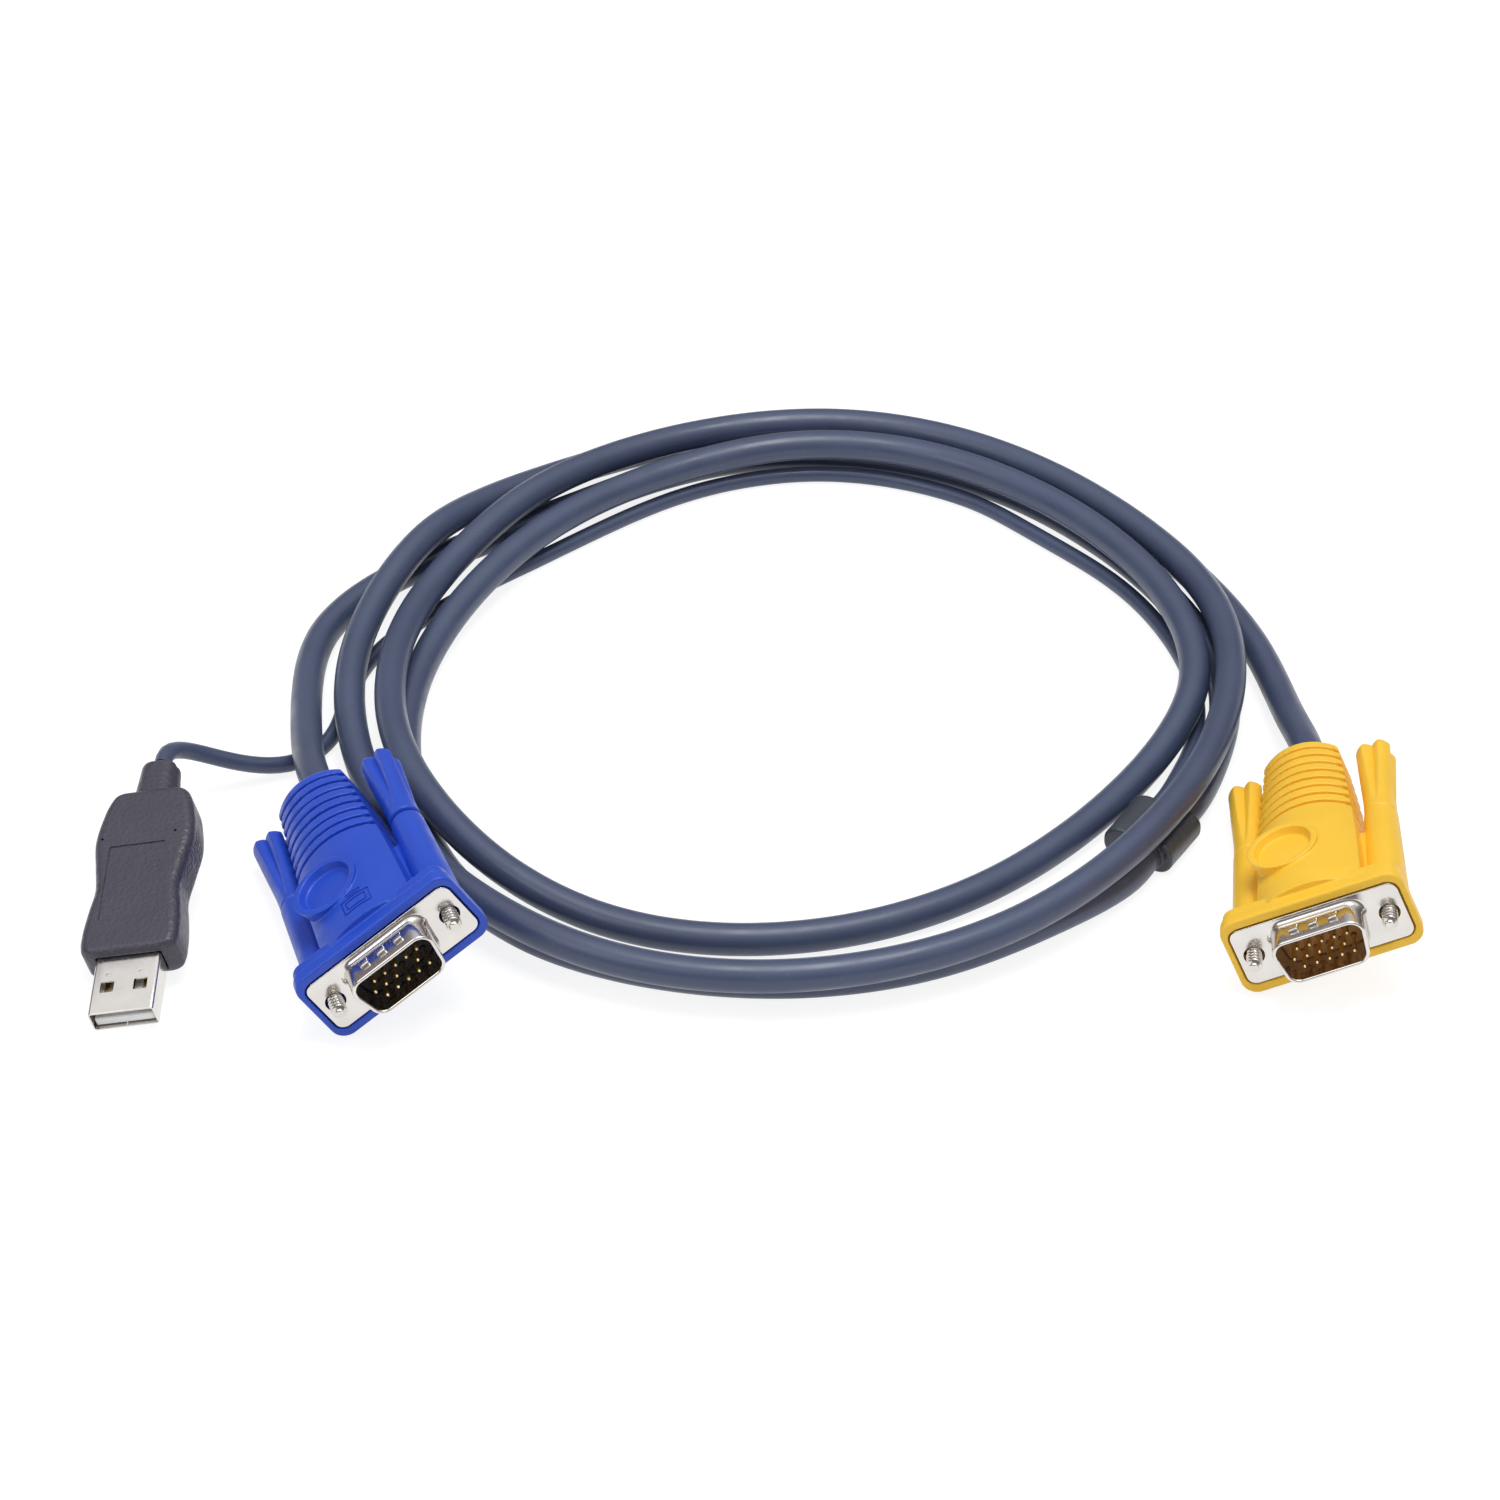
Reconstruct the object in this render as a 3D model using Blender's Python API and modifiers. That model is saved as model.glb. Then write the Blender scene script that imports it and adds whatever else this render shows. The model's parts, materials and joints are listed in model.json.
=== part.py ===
"""Computer switch cable, lying in a loose coil on a flat surface: a round cord with a fifteen-pin D plug
(yellow hood), a junction block where a second fifteen-pin D plug (blue hood) and a thin USB cord split
off, and the USB plug. Units are metres, Z is up, the floor is z = 0.

Each plug is built in its own frame: x runs along the plate, y runs from the mating face back to the cord
and z points out of the thumb dish. An empty then lays the plug on the floor."""

import math

import bmesh
import bpy
import numpy as np
from mathutils import Euler, Matrix, Vector

# Clearances
GAP = 0.0003
OVERRUN = 0.002

# Fifteen-pin D plug: metal parts
SCREW_SPACING = 0.02499
PLATE_WIDTH = 0.0308
PLATE_HEIGHT = 0.0117
PLATE_THICKNESS = 0.0008
PLATE_CORNER = 0.0018
PLATE_HOLE = 0.0048
D_WIDTH = 0.0179
D_HEIGHT = 0.0093
D_REACH = 0.0061
D_WALL = 0.0005
D_CORNER = 0.0027
D_SLANT = math.radians(10)
DIMPLE_SIZE = 0.0017
DIMPLE_HEIGHT = 0.0003
DIMPLE_PITCH = 0.0036
PIN_DIAMETER = 0.00076
PIN_PITCH = 0.00229
ROW_PITCH = 0.00198
PIN_REACH = 0.0054
PIN_SEAT = 0.0020
INSULATOR_DEPTH = 0.0050
INSULATOR_SETBACK = 0.0002
PINS_PER_ROW = 5

# Fifteen-pin D plug: hood
FLANGE_WIDTH = 0.0336
FLANGE_HEIGHT = 0.0158
FLANGE_CORNER = 0.0030
LIP_DEPTH = 0.0024
FLANGE_DEPTH = 0.0052
FLANGE_STEP = 0.0005
BODY_FRONT_HALF_WIDTH = 0.0090
BODY_REAR_HALF_WIDTH = 0.0071
BODY_FRONT_CROWN = 0.0093
BODY_REAR_CROWN = 0.0067
BODY_FRONT_SHOULDER = 0.0070
BODY_REAR_SHOULDER = 0.0036
BODY_REAR_SHIFT = -0.0008
BODY_CORNER = 0.0007
HOOD_LENGTH = 0.0530
RIB_PITCH = 0.0030
RIB_COUNT = 8
RIB_REAR_LAND = 0.0018
GROOVE_WIDTH = 0.0009
GROOVE_DEPTH = 0.0007
DISH_X = -0.0033
DISH_Y = 0.0168
DISH_RADIUS = 0.0066
DISH_RIM = 0.0012
DISH_TOP = 0.0091
DISH_DEPTH = 0.0013
DISH_FLOOR_RADIUS = 0.0045
SLEEVE_FRONT_RADIUS = 0.0038
SLEEVE_REAR_RADIUS = 0.0031
SLEEVE_END = 0.0303
SLEEVE_BORE = 0.0036
WEB_END = 0.0240
WEB_THICKNESS = 0.0026

# Thumbscrews
SCREW_DIAMETER = 0.00284
SCREW_TIP = 0.0041
SCREW_TAPER = 0.0010
KNOB_LENGTH = 0.0217
KNOB_SEAM_RADIUS = 0.0030
KNOB_WAIST_RADIUS = 0.0028
KNOB_END_RADIUS = 0.0039
KNOB_LOBES = 4
KNOB_LOBE_DEPTH = 0.17
KNOB_SEAT = 0.0075

# USB plug
USB_SHELL_WIDTH = 0.0120
USB_SHELL_HEIGHT = 0.0045
USB_SHELL_WALL = 0.0003
USB_SHELL_REACH = 0.0125
USB_SHELL_SEAT = 0.0040
USB_WINDOW_WIDTH = 0.0022
USB_WINDOW_LENGTH = 0.0025
USB_WINDOW_Y = 0.0070
USB_WINDOW_SPACING = 0.0061
TONGUE_WIDTH = 0.0108
TONGUE_THICKNESS = 0.0018
TONGUE_SETBACK = 0.0006
CONTACT_WIDTH = 0.0010
CONTACT_HEIGHT = 0.0003
CONTACT_LENGTH = 0.0070
POWER_CONTACT_SETBACK = 0.0012
DATA_CONTACT_SETBACK = 0.0022
USB_FRONT_HALF_WIDTH = 0.0090
USB_WAIST_HALF_WIDTH = 0.0079
USB_BULGE_HALF_WIDTH = 0.0093
USB_SHOULDER_HALF_WIDTH = 0.0066
USB_HALF_HEIGHT = 0.0041
USB_BODY_LENGTH = 0.0384
USB_WAIST_Y = 0.0150
USB_BULGE_Y = 0.0270
USB_CORNER = 0.0022
COLLAR_LENGTH = 0.0080
COLLAR_HALF_WIDTH = 0.0038
COLLAR_HALF_HEIGHT = 0.0034

# Junction block
JUNCTION_WIDTH = 0.0140
JUNCTION_LENGTH = 0.0124
JUNCTION_HEIGHT = 0.0066
JUNCTION_ROUND = 0.0022
JUNCTION_CORD_X = 0.0020
JUNCTION_RING_RADIUS = 0.0031
JUNCTION_RING_LENGTH = 0.0012

# Cords
CORD_DIAMETER = 0.0060
USB_CORD_DIAMETER = 0.0032
CORD_POINTS = 80
VIDEO_CORD_POINTS = 24
USB_CORD_POINTS = 40
CORD_END_STEP = 0.005

# How each plug lies: place of its frame, then roll about its y, pitch about x, yaw about z in degrees
YELLOW_PLACE = (0.09916, -0.01893, 0.01421)
YELLOW_TILT = (-4.55, -24.77, -4.55)
BLUE_PLACE = (-0.06239, -0.02703, 0.01544)
BLUE_TILT = (-4.84, -32.02, 17.79)
USB_PLACE = (-0.10952, -0.01658, 0.00559)
USB_TILT = (10.91, -11.49, -1.14)
JUNCTION_PLACE = (0.07356, 0.02392, JUNCTION_HEIGHT / 2)
JUNCTION_YAW = -31.54

parts = bpy.data.collections.new("computer_switch_cable")
cutters = bpy.data.collections.new("cutters")


def clear_scene():
    for obj in list(bpy.data.objects):
        bpy.data.objects.remove(obj, do_unlink=True)
    bpy.context.scene.collection.children.link(parts)
    bpy.context.scene.collection.children.link(cutters)


def finish(name, colour, roughness, metallic=0.0):
    """A plain material of one colour."""
    material = bpy.data.materials.new(name)
    material.use_nodes = True
    shader = material.node_tree.nodes["Principled BSDF"]
    shader.inputs["Base Color"].default_value = (*colour, 1.0)
    shader.inputs["Roughness"].default_value = roughness
    shader.inputs["Metallic"].default_value = metallic
    return material


def new_object(name, mesh, material, frame, collection=parts):
    obj = bpy.data.objects.new(name, mesh)
    collection.objects.link(obj)
    obj.parent = frame
    if material is not None:
        mesh.materials.append(material)
    return obj


def finish_mesh(bm, name):
    """Turns every face outward and writes the mesh, smooth but for its sharp edges."""
    bmesh.ops.recalc_face_normals(bm, faces=bm.faces)
    mesh = bpy.data.meshes.new(name)
    bm.to_mesh(mesh)
    bm.free()
    mesh.shade_smooth()
    mesh.set_sharp_from_angle(angle=math.radians(35))
    return mesh


def as_cutter(obj):
    obj.hide_render = True
    obj.display_type = "WIRE"


def combine(obj, other, operation):
    modifier = obj.modifiers.new(other.name, "BOOLEAN")
    modifier.operation = operation
    modifier.object = other
    modifier.solver = "EXACT"


def frame_at(name, place, tilt_degrees):
    """An empty: the tilt is (pitch, roll, yaw), turned roll first, then pitch, then yaw."""
    frame = bpy.data.objects.new(name, None)
    frame.empty_display_size = 0.01
    parts.objects.link(frame)
    pitch, roll, yaw = (math.radians(angle) for angle in tilt_degrees)
    frame.rotation_mode = "YXZ"
    frame.rotation_euler = Euler((pitch, roll, yaw), "YXZ")
    frame.location = place
    return frame


def along_y(radius, start, end, segments, end_radius=None, x=0.0, z=0.0):
    """A cylinder or cone about an axis parallel to y, as a bmesh."""
    bm = bmesh.new()
    middle = Matrix.Translation((x, (start + end) / 2, z))
    bmesh.ops.create_cone(
        bm,
        cap_ends=True,
        segments=segments,
        radius1=radius,
        radius2=radius if end_radius is None else end_radius,
        depth=end - start,
        matrix=middle @ Matrix.Rotation(math.radians(-90), 4, "X"),
    )
    return bm


def block(size, centre, bevel=0.0, segments=2):
    """A box, its edges rounded by bevel, as a bmesh."""
    bm = bmesh.new()
    bmesh.ops.create_cube(bm, size=1.0)
    bmesh.ops.scale(bm, vec=size, verts=bm.verts)
    if bevel:
        bmesh.ops.bevel(bm, geom=bm.edges, offset=bevel, segments=segments, profile=0.5, affect="EDGES")
    bmesh.ops.translate(bm, vec=centre, verts=bm.verts)
    return bm


def rounded_polygon(corners, radius, steps):
    """The outline through these corners, counterclockwise, each turned with an arc of this radius."""
    outline = []
    count = len(corners)
    for index, corner in enumerate(corners):
        corner = Vector(corner)
        before = (Vector(corners[index - 1]) - corner).normalized()
        after = (Vector(corners[(index + 1) % count]) - corner).normalized()
        half = before.angle(after) / 2
        centre = corner + (before + after).normalized() * radius / math.sin(half)
        first = corner + before * radius / math.tan(half) - centre
        last = corner + after * radius / math.tan(half) - centre
        start = math.atan2(first.y, first.x)
        sweep = (math.atan2(last.y, last.x) - start) % (2 * math.pi)
        for step in range(steps + 1):
            angle = start + sweep * step / steps
            outline.append((centre.x + radius * math.cos(angle), centre.y + radius * math.sin(angle)))
    return outline


def rectangle(width, height):
    return [(-width / 2, -height / 2), (width / 2, -height / 2), (width / 2, height / 2), (-width / 2, height / 2)]


def rounded_rectangle(width, height, radius, steps=4):
    return rounded_polygon(rectangle(width, height), radius, steps)


def d_outline(inset, steps=4):
    """The D: wide above, narrow below, drawn in by inset on every side."""
    half_height = D_HEIGHT / 2 - inset
    side = inset / math.cos(D_SLANT)
    top = D_WIDTH / 2 - side + (half_height - D_HEIGHT / 2) * math.tan(D_SLANT)
    bottom = top - 2 * half_height * math.tan(D_SLANT)
    corners = [(-bottom, -half_height), (bottom, -half_height), (top, half_height), (-top, half_height)]
    return rounded_polygon(corners, D_CORNER - inset, steps)


def loft(rings):
    """A closed skin through rings of points, each ring with the same count, capped at both ends."""
    bm = bmesh.new()
    rows = [[bm.verts.new(point) for point in ring] for ring in rings]
    count = len(rows[0])
    for lower, upper in zip(rows, rows[1:]):
        for index in range(count):
            after = (index + 1) % count
            bm.faces.new((lower[index], lower[after], upper[after], upper[index]))
    bm.faces.new(rows[0])
    bm.faces.new(rows[-1])
    return bm


def prism(outline, start, end):
    """An outline in x and z, extruded from y = start to y = end."""
    return loft([[(x, y, z) for x, z in outline] for y in (start, end)])


def join(meshes):
    """Several bmeshes as one, each still its own closed body."""
    bm = bmesh.new()
    for other in meshes:
        mesh = bpy.data.meshes.new("part_of_group")
        other.to_mesh(mesh)
        other.free()
        bm.from_mesh(mesh)
        bpy.data.meshes.remove(mesh)
    return bm


def screw_places():
    return {"left": -SCREW_SPACING / 2, "right": SCREW_SPACING / 2}


def crowned_outline(half_width, crown, shoulder, middle):
    """Crowned above and below, with upright sides between the shoulders and a small chamfer at each."""
    radius = (half_width**2 + (crown - shoulder) ** 2) / (2 * (crown - shoulder))
    reach = half_width - BODY_CORNER
    arc = []
    for step in range(9):
        x = reach * (1 - step / 4)
        arc.append((x, crown - radius + math.sqrt(radius**2 - x**2)))
    drop = shoulder - BODY_CORNER
    half = [(half_width, drop)] + arc + [(-half_width, drop)]
    return [(x + middle, z) for x, z in half] + [(middle - x, -z) for x, z in half]


def hood_section(y, inset=0.0):
    """The hood's body at y: it narrows and thins from the flange to the cord, and leans to the dish's side."""
    share = min(max((y - LIP_DEPTH) / (HOOD_LENGTH - LIP_DEPTH), 0.0), 1.0)
    ease = share**1.7
    outline = crowned_outline(
        BODY_FRONT_HALF_WIDTH + (BODY_REAR_HALF_WIDTH - BODY_FRONT_HALF_WIDTH) * ease - inset,
        BODY_FRONT_CROWN + (BODY_REAR_CROWN - BODY_FRONT_CROWN) * ease - inset,
        BODY_FRONT_SHOULDER + (BODY_REAR_SHOULDER - BODY_FRONT_SHOULDER) * ease - inset,
        BODY_REAR_SHIFT * share**3,
    )
    return [(x, y, z) for x, z in outline]


def hood_body():
    """The crowned body with its rows of grooves, from inside the flange to its rounded rear end."""
    rings = [hood_section(LIP_DEPTH), hood_section(DISH_Y)]
    last_groove = HOOD_LENGTH - RIB_REAR_LAND - GROOVE_WIDTH
    for rib in reversed(range(RIB_COUNT)):
        start = last_groove - rib * RIB_PITCH
        end = start + GROOVE_WIDTH
        rings.append(hood_section(start))
        rings.append(hood_section(start + GROOVE_WIDTH * 0.15, GROOVE_DEPTH))
        rings.append(hood_section(end - GROOVE_WIDTH * 0.15, GROOVE_DEPTH))
        rings.append(hood_section(end))
    rings.append(hood_section(HOOD_LENGTH - 0.0006))
    rings.append(hood_section(HOOD_LENGTH, 0.0006))
    return loft(rings)


def build_hood(prefix, frame, material):
    hood = new_object(prefix + "_hood", finish_mesh(hood_body(), prefix + "_hood"), material, frame)
    lip = prism(rounded_rectangle(FLANGE_WIDTH, FLANGE_HEIGHT, FLANGE_CORNER), 0.0, LIP_DEPTH)
    rear_width = FLANGE_WIDTH - 2 * FLANGE_STEP
    rear_height = FLANGE_HEIGHT - 2 * FLANGE_STEP
    rear = prism(
        rounded_rectangle(rear_width, rear_height, FLANGE_CORNER - FLANGE_STEP),
        LIP_DEPTH / 2,
        FLANGE_DEPTH,
    )
    additions = {"lip": lip, "flange": rear}
    for side, x in screw_places().items():
        additions["sleeve_" + side] = along_y(
            SLEEVE_FRONT_RADIUS, LIP_DEPTH, SLEEVE_END, 20, SLEEVE_REAR_RADIUS, x=x
        )
        inner = math.copysign(BODY_REAR_HALF_WIDTH, x)
        additions["web_" + side] = block(
            (abs(x - inner), WEB_END - LIP_DEPTH, WEB_THICKNESS),
            ((x + inner) / 2, (WEB_END + LIP_DEPTH) / 2, 0.0),
        )
    boss = bmesh.new()
    bmesh.ops.create_cone(
        boss,
        cap_ends=True,
        segments=28,
        radius1=DISH_RADIUS,
        radius2=DISH_RADIUS,
        depth=DISH_TOP,
        matrix=Matrix.Translation((DISH_X, DISH_Y, DISH_TOP / 2)),
    )
    additions["boss"] = boss
    for name, bm in additions.items():
        tool = new_object(f"{prefix}_{name}", finish_mesh(bm, name), None, frame, cutters)
        as_cutter(tool)
        combine(hood, tool, "UNION")

    dish = bmesh.new()
    bmesh.ops.create_cone(
        dish,
        cap_ends=True,
        segments=28,
        radius1=DISH_FLOOR_RADIUS,
        radius2=2 * (DISH_RADIUS - DISH_RIM) - DISH_FLOOR_RADIUS,
        depth=2 * DISH_DEPTH,
        matrix=Matrix.Translation((DISH_X, DISH_Y, DISH_TOP)),
    )
    recess_width = PLATE_WIDTH + 2 * GAP
    recess_height = PLATE_HEIGHT + 2 * GAP
    cuts = {
        "dish": dish,
        "plate_recess": prism(
            rounded_rectangle(recess_width, recess_height, PLATE_CORNER + GAP),
            -OVERRUN,
            PLATE_THICKNESS + GAP,
        ),
        "core_recess": prism(d_outline(0.0), -OVERRUN, INSULATOR_DEPTH + 2 * GAP),
    }
    for side, x in screw_places().items():
        cuts["bore_" + side] = along_y(SLEEVE_BORE / 2, -OVERRUN, SLEEVE_END + OVERRUN, 16, x=x)
    for name, bm in cuts.items():
        tool = new_object(f"{prefix}_{name}", finish_mesh(bm, name), None, frame, cutters)
        as_cutter(tool)
        combine(hood, tool, "DIFFERENCE")


def build_shell(prefix, frame, material):
    """The face plate and the D that is drawn out of it, one pressing."""
    plate = prism(rounded_rectangle(PLATE_WIDTH, PLATE_HEIGHT, PLATE_CORNER), 0.0, PLATE_THICKNESS)
    shell = new_object(prefix + "_shell", finish_mesh(plate, prefix + "_shell"), material, frame)
    additions = {"skirt": prism(d_outline(0.0), -D_REACH, PLATE_THICKNESS / 2)}
    for index in range(3):
        additions[f"dimple_{index + 1}"] = block(
            (DIMPLE_SIZE, DIMPLE_SIZE, 2 * DIMPLE_HEIGHT),
            ((index - 1) * DIMPLE_PITCH, -D_REACH / 2, D_HEIGHT / 2),
            DIMPLE_HEIGHT * 0.7,
            1,
        )
    for name, bm in additions.items():
        tool = new_object(f"{prefix}_{name}", finish_mesh(bm, name), None, frame, cutters)
        as_cutter(tool)
        combine(shell, tool, "UNION")
    cuts = {"mouth": prism(d_outline(D_WALL), -D_REACH - OVERRUN, PLATE_THICKNESS + OVERRUN)}
    for side, x in screw_places().items():
        cuts["plate_hole_" + side] = along_y(PLATE_HOLE / 2, -OVERRUN, PLATE_THICKNESS + OVERRUN, 20, x=x)
    for name, bm in cuts.items():
        tool = new_object(f"{prefix}_{name}", finish_mesh(bm, name), None, frame, cutters)
        as_cutter(tool)
        combine(shell, tool, "DIFFERENCE")


def pin_places(missing=()):
    """(number, x, z) of each pin, numbered along the rows from the top left."""
    places = []
    for row in range(3):
        shift = PIN_PITCH / 4 if row != 1 else -PIN_PITCH / 4
        for column in range(PINS_PER_ROW):
            number = row * PINS_PER_ROW + column + 1
            if number not in missing:
                x = (column - (PINS_PER_ROW - 1) / 2) * PIN_PITCH + shift
                places.append((number, x, (1 - row) * ROW_PITCH))
    return places


def build_insulator(prefix, frame, material, pins):
    core = prism(d_outline(D_WALL + GAP), -INSULATOR_SETBACK, INSULATOR_DEPTH)
    insulator = new_object(prefix + "_insulator", finish_mesh(core, prefix), material, frame)
    radius = PIN_DIAMETER / 2 + GAP
    end = PIN_SEAT + GAP
    holes = join([along_y(radius, -OVERRUN, end, 8, x=x, z=z) for _, x, z in pins])
    tool = new_object(prefix + "_pin_holes", finish_mesh(holes, "pin_holes"), None, frame, cutters)
    as_cutter(tool)
    combine(insulator, tool, "DIFFERENCE")


def build_pins(prefix, frame, material, pins):
    """Round pins with a tapered nose."""
    radius = PIN_DIAMETER / 2
    stations = ((-PIN_REACH, 0.45), (-PIN_REACH + radius, 1.0), (PIN_SEAT, 1.0))
    rings = []
    for y, share in stations:
        ring = []
        for step in range(8):
            angle = 2 * math.pi * step / 8
            ring.append((radius * share * math.cos(angle), y, radius * share * math.sin(angle)))
        rings.append(ring)
    mesh = finish_mesh(loft(rings), prefix + "_pin")
    mesh.materials.append(material)
    for number, x, z in pins:
        pin = new_object(f"{prefix}_pin_{number:02d}", mesh, None, frame)
        pin.location = (x, 0.0, z)


def knob_ring(y, radius, lobe):
    ring = []
    for step in range(32):
        angle = 2 * math.pi * step / 32
        reach = radius * (1 + lobe * (abs(math.cos(KNOB_LOBES * angle / 2)) - 0.6))
        ring.append((reach * math.cos(angle), y, reach * math.sin(angle)))
    return ring


def build_thumbscrew(prefix, side, x, frame, knob_finish, screw_finish):
    """The fluted knob and the steel jackscrew that it turns. Their shared axis is the hinge."""
    start = SLEEVE_END + GAP
    stations = (
        (0.00, KNOB_SEAM_RADIUS, 0.0),
        (0.10, KNOB_WAIST_RADIUS, 0.04),
        (0.35, KNOB_WAIST_RADIUS, 0.7),
        (0.65, (KNOB_WAIST_RADIUS + KNOB_END_RADIUS) / 2, 1.0),
        (0.92, KNOB_END_RADIUS, 1.0),
        (0.98, KNOB_END_RADIUS * 0.92, 1.0),
        (1.00, KNOB_END_RADIUS * 0.76, 0.8),
    )
    rings = [knob_ring(start + KNOB_LENGTH * s, r, KNOB_LOBE_DEPTH * lobe) for s, r, lobe in stations]
    name = f"{prefix}_knob_{side}"
    knob = new_object(name, finish_mesh(loft(rings), name), knob_finish, frame)
    knob.location = (x, 0.0, 0.0)
    seat = along_y(SCREW_DIAMETER / 2 + GAP, start - OVERRUN, start + KNOB_SEAT + GAP, 16)
    tool = new_object(name + "_seat", finish_mesh(seat, "seat"), None, frame, cutters)
    tool.location = knob.location
    as_cutter(tool)
    combine(knob, tool, "DIFFERENCE")

    radius = SCREW_DIAMETER / 2
    profile = (
        (0.0, -SCREW_TIP),
        (radius * 0.55, -SCREW_TIP),
        (radius, -SCREW_TIP + SCREW_TAPER),
        (radius, start + KNOB_SEAT),
        (0.0, start + KNOB_SEAT),
    )
    mesh = bpy.data.meshes.new(f"{prefix}_jackscrew")
    points = [(r, y, 0.0) for r, y in reversed(profile)]
    mesh.from_pydata(points, [(i, i + 1) for i in range(len(points) - 1)], [])
    screw = new_object(f"{prefix}_jackscrew_{side}", mesh, screw_finish, frame)
    screw.location = (x, 0.0, 0.0)
    turn = screw.modifiers.new("turn", "SCREW")
    turn.axis = "Y"
    turn.steps = 16
    turn.render_steps = 16
    turn.use_merge_vertices = True
    turn.merge_threshold = 0.00001
    turn.use_smooth_shade = False


def build_d_plug(prefix, place, tilt, hood_finish, insulator_finish, missing=()):
    frame = frame_at(prefix + "_plug", place, tilt)
    pins = pin_places(missing)
    build_hood(prefix, frame, hood_finish)
    build_shell(prefix, frame, NICKEL)
    build_insulator(prefix, frame, insulator_finish, pins)
    build_pins(prefix, frame, GOLD, pins)
    for side, x in screw_places().items():
        build_thumbscrew(prefix, side, x, frame, hood_finish, STEEL)
    return frame


def usb_section(y, half_width, half_height, inset=0.0):
    radius = min(USB_CORNER, half_height * 0.8) - inset * 0.5
    outline = rounded_rectangle(2 * (half_width - inset), 2 * (half_height - inset), radius, 4)
    return [(x, y, z) for x, z in outline]


def build_usb_plug(frame):
    """The moulded housing with its waist and its collar, the folded shell, the tongue and the contacts."""
    collar_end = USB_BODY_LENGTH + COLLAR_LENGTH
    stations = (
        (0.0, USB_FRONT_HALF_WIDTH - 0.0022, USB_HALF_HEIGHT - 0.0008),
        (0.0012, USB_FRONT_HALF_WIDTH - 0.0004, USB_HALF_HEIGHT - 0.0001),
        (0.0050, USB_FRONT_HALF_WIDTH, USB_HALF_HEIGHT),
        (USB_WAIST_Y - 0.0045, (USB_FRONT_HALF_WIDTH + USB_WAIST_HALF_WIDTH) / 2, USB_HALF_HEIGHT),
        (USB_WAIST_Y, USB_WAIST_HALF_WIDTH, USB_HALF_HEIGHT),
        (USB_WAIST_Y + 0.0060, (USB_BULGE_HALF_WIDTH + USB_WAIST_HALF_WIDTH) / 2, USB_HALF_HEIGHT),
        (USB_BULGE_Y, USB_BULGE_HALF_WIDTH, USB_HALF_HEIGHT),
        (USB_BULGE_Y + 0.0050, USB_BULGE_HALF_WIDTH - 0.0006, USB_HALF_HEIGHT),
        (USB_BODY_LENGTH - 0.0028, USB_SHOULDER_HALF_WIDTH + 0.0012, USB_HALF_HEIGHT - 0.0001),
        (USB_BODY_LENGTH - 0.0007, USB_SHOULDER_HALF_WIDTH, USB_HALF_HEIGHT - 0.0004),
        (USB_BODY_LENGTH, USB_SHOULDER_HALF_WIDTH - 0.0012, USB_HALF_HEIGHT - 0.0010),
    )
    rings = [usb_section(*station) for station in stations]
    housing = new_object("usb_housing", finish_mesh(loft(rings), "usb_housing"), CHARCOAL, frame)
    collar = loft(
        [
            usb_section(USB_BODY_LENGTH - OVERRUN, COLLAR_HALF_WIDTH + 0.0006, COLLAR_HALF_HEIGHT),
            usb_section(USB_BODY_LENGTH + 0.0035, COLLAR_HALF_WIDTH, COLLAR_HALF_HEIGHT - 0.0003),
            usb_section(collar_end - 0.0010, COLLAR_HALF_WIDTH - 0.0004, COLLAR_HALF_HEIGHT - 0.0006),
            usb_section(collar_end, COLLAR_HALF_WIDTH - 0.0012, COLLAR_HALF_HEIGHT - 0.0012),
        ]
    )
    tool = new_object("usb_collar", finish_mesh(collar, "usb_collar"), None, frame, cutters)
    as_cutter(tool)
    combine(housing, tool, "UNION")
    slot = block(
        (
            USB_SHELL_WIDTH + 2 * GAP,
            USB_SHELL_SEAT + 2 * GAP + OVERRUN,
            USB_SHELL_HEIGHT + 2 * GAP,
        ),
        (0.0, (USB_SHELL_SEAT + 2 * GAP - OVERRUN) / 2, 0.0),
    )
    tool = new_object("usb_slot", finish_mesh(slot, "usb_slot"), None, frame, cutters)
    as_cutter(tool)
    combine(housing, tool, "DIFFERENCE")

    outside = rounded_rectangle(USB_SHELL_WIDTH, USB_SHELL_HEIGHT, 0.0006, 2)
    inside = rounded_rectangle(
        USB_SHELL_WIDTH - 2 * USB_SHELL_WALL, USB_SHELL_HEIGHT - 2 * USB_SHELL_WALL, 0.0003, 2
    )
    tube = prism(outside, -USB_SHELL_REACH, USB_SHELL_SEAT)
    shell = new_object("usb_shell", finish_mesh(tube, "usb_shell"), NICKEL, frame)
    cuts = {"usb_mouth": prism(inside, -USB_SHELL_REACH - OVERRUN, USB_SHELL_SEAT + OVERRUN)}
    for side in (-1, 1):
        cuts[f"usb_windows_{'left' if side < 0 else 'right'}"] = block(
            (USB_WINDOW_WIDTH, USB_WINDOW_LENGTH, 2 * USB_SHELL_HEIGHT),
            (side * USB_WINDOW_SPACING / 2, -USB_WINDOW_Y, 0.0),
        )
    for name, bm in cuts.items():
        tool = new_object(name, finish_mesh(bm, name), None, frame, cutters)
        as_cutter(tool)
        combine(shell, tool, "DIFFERENCE")

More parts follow.
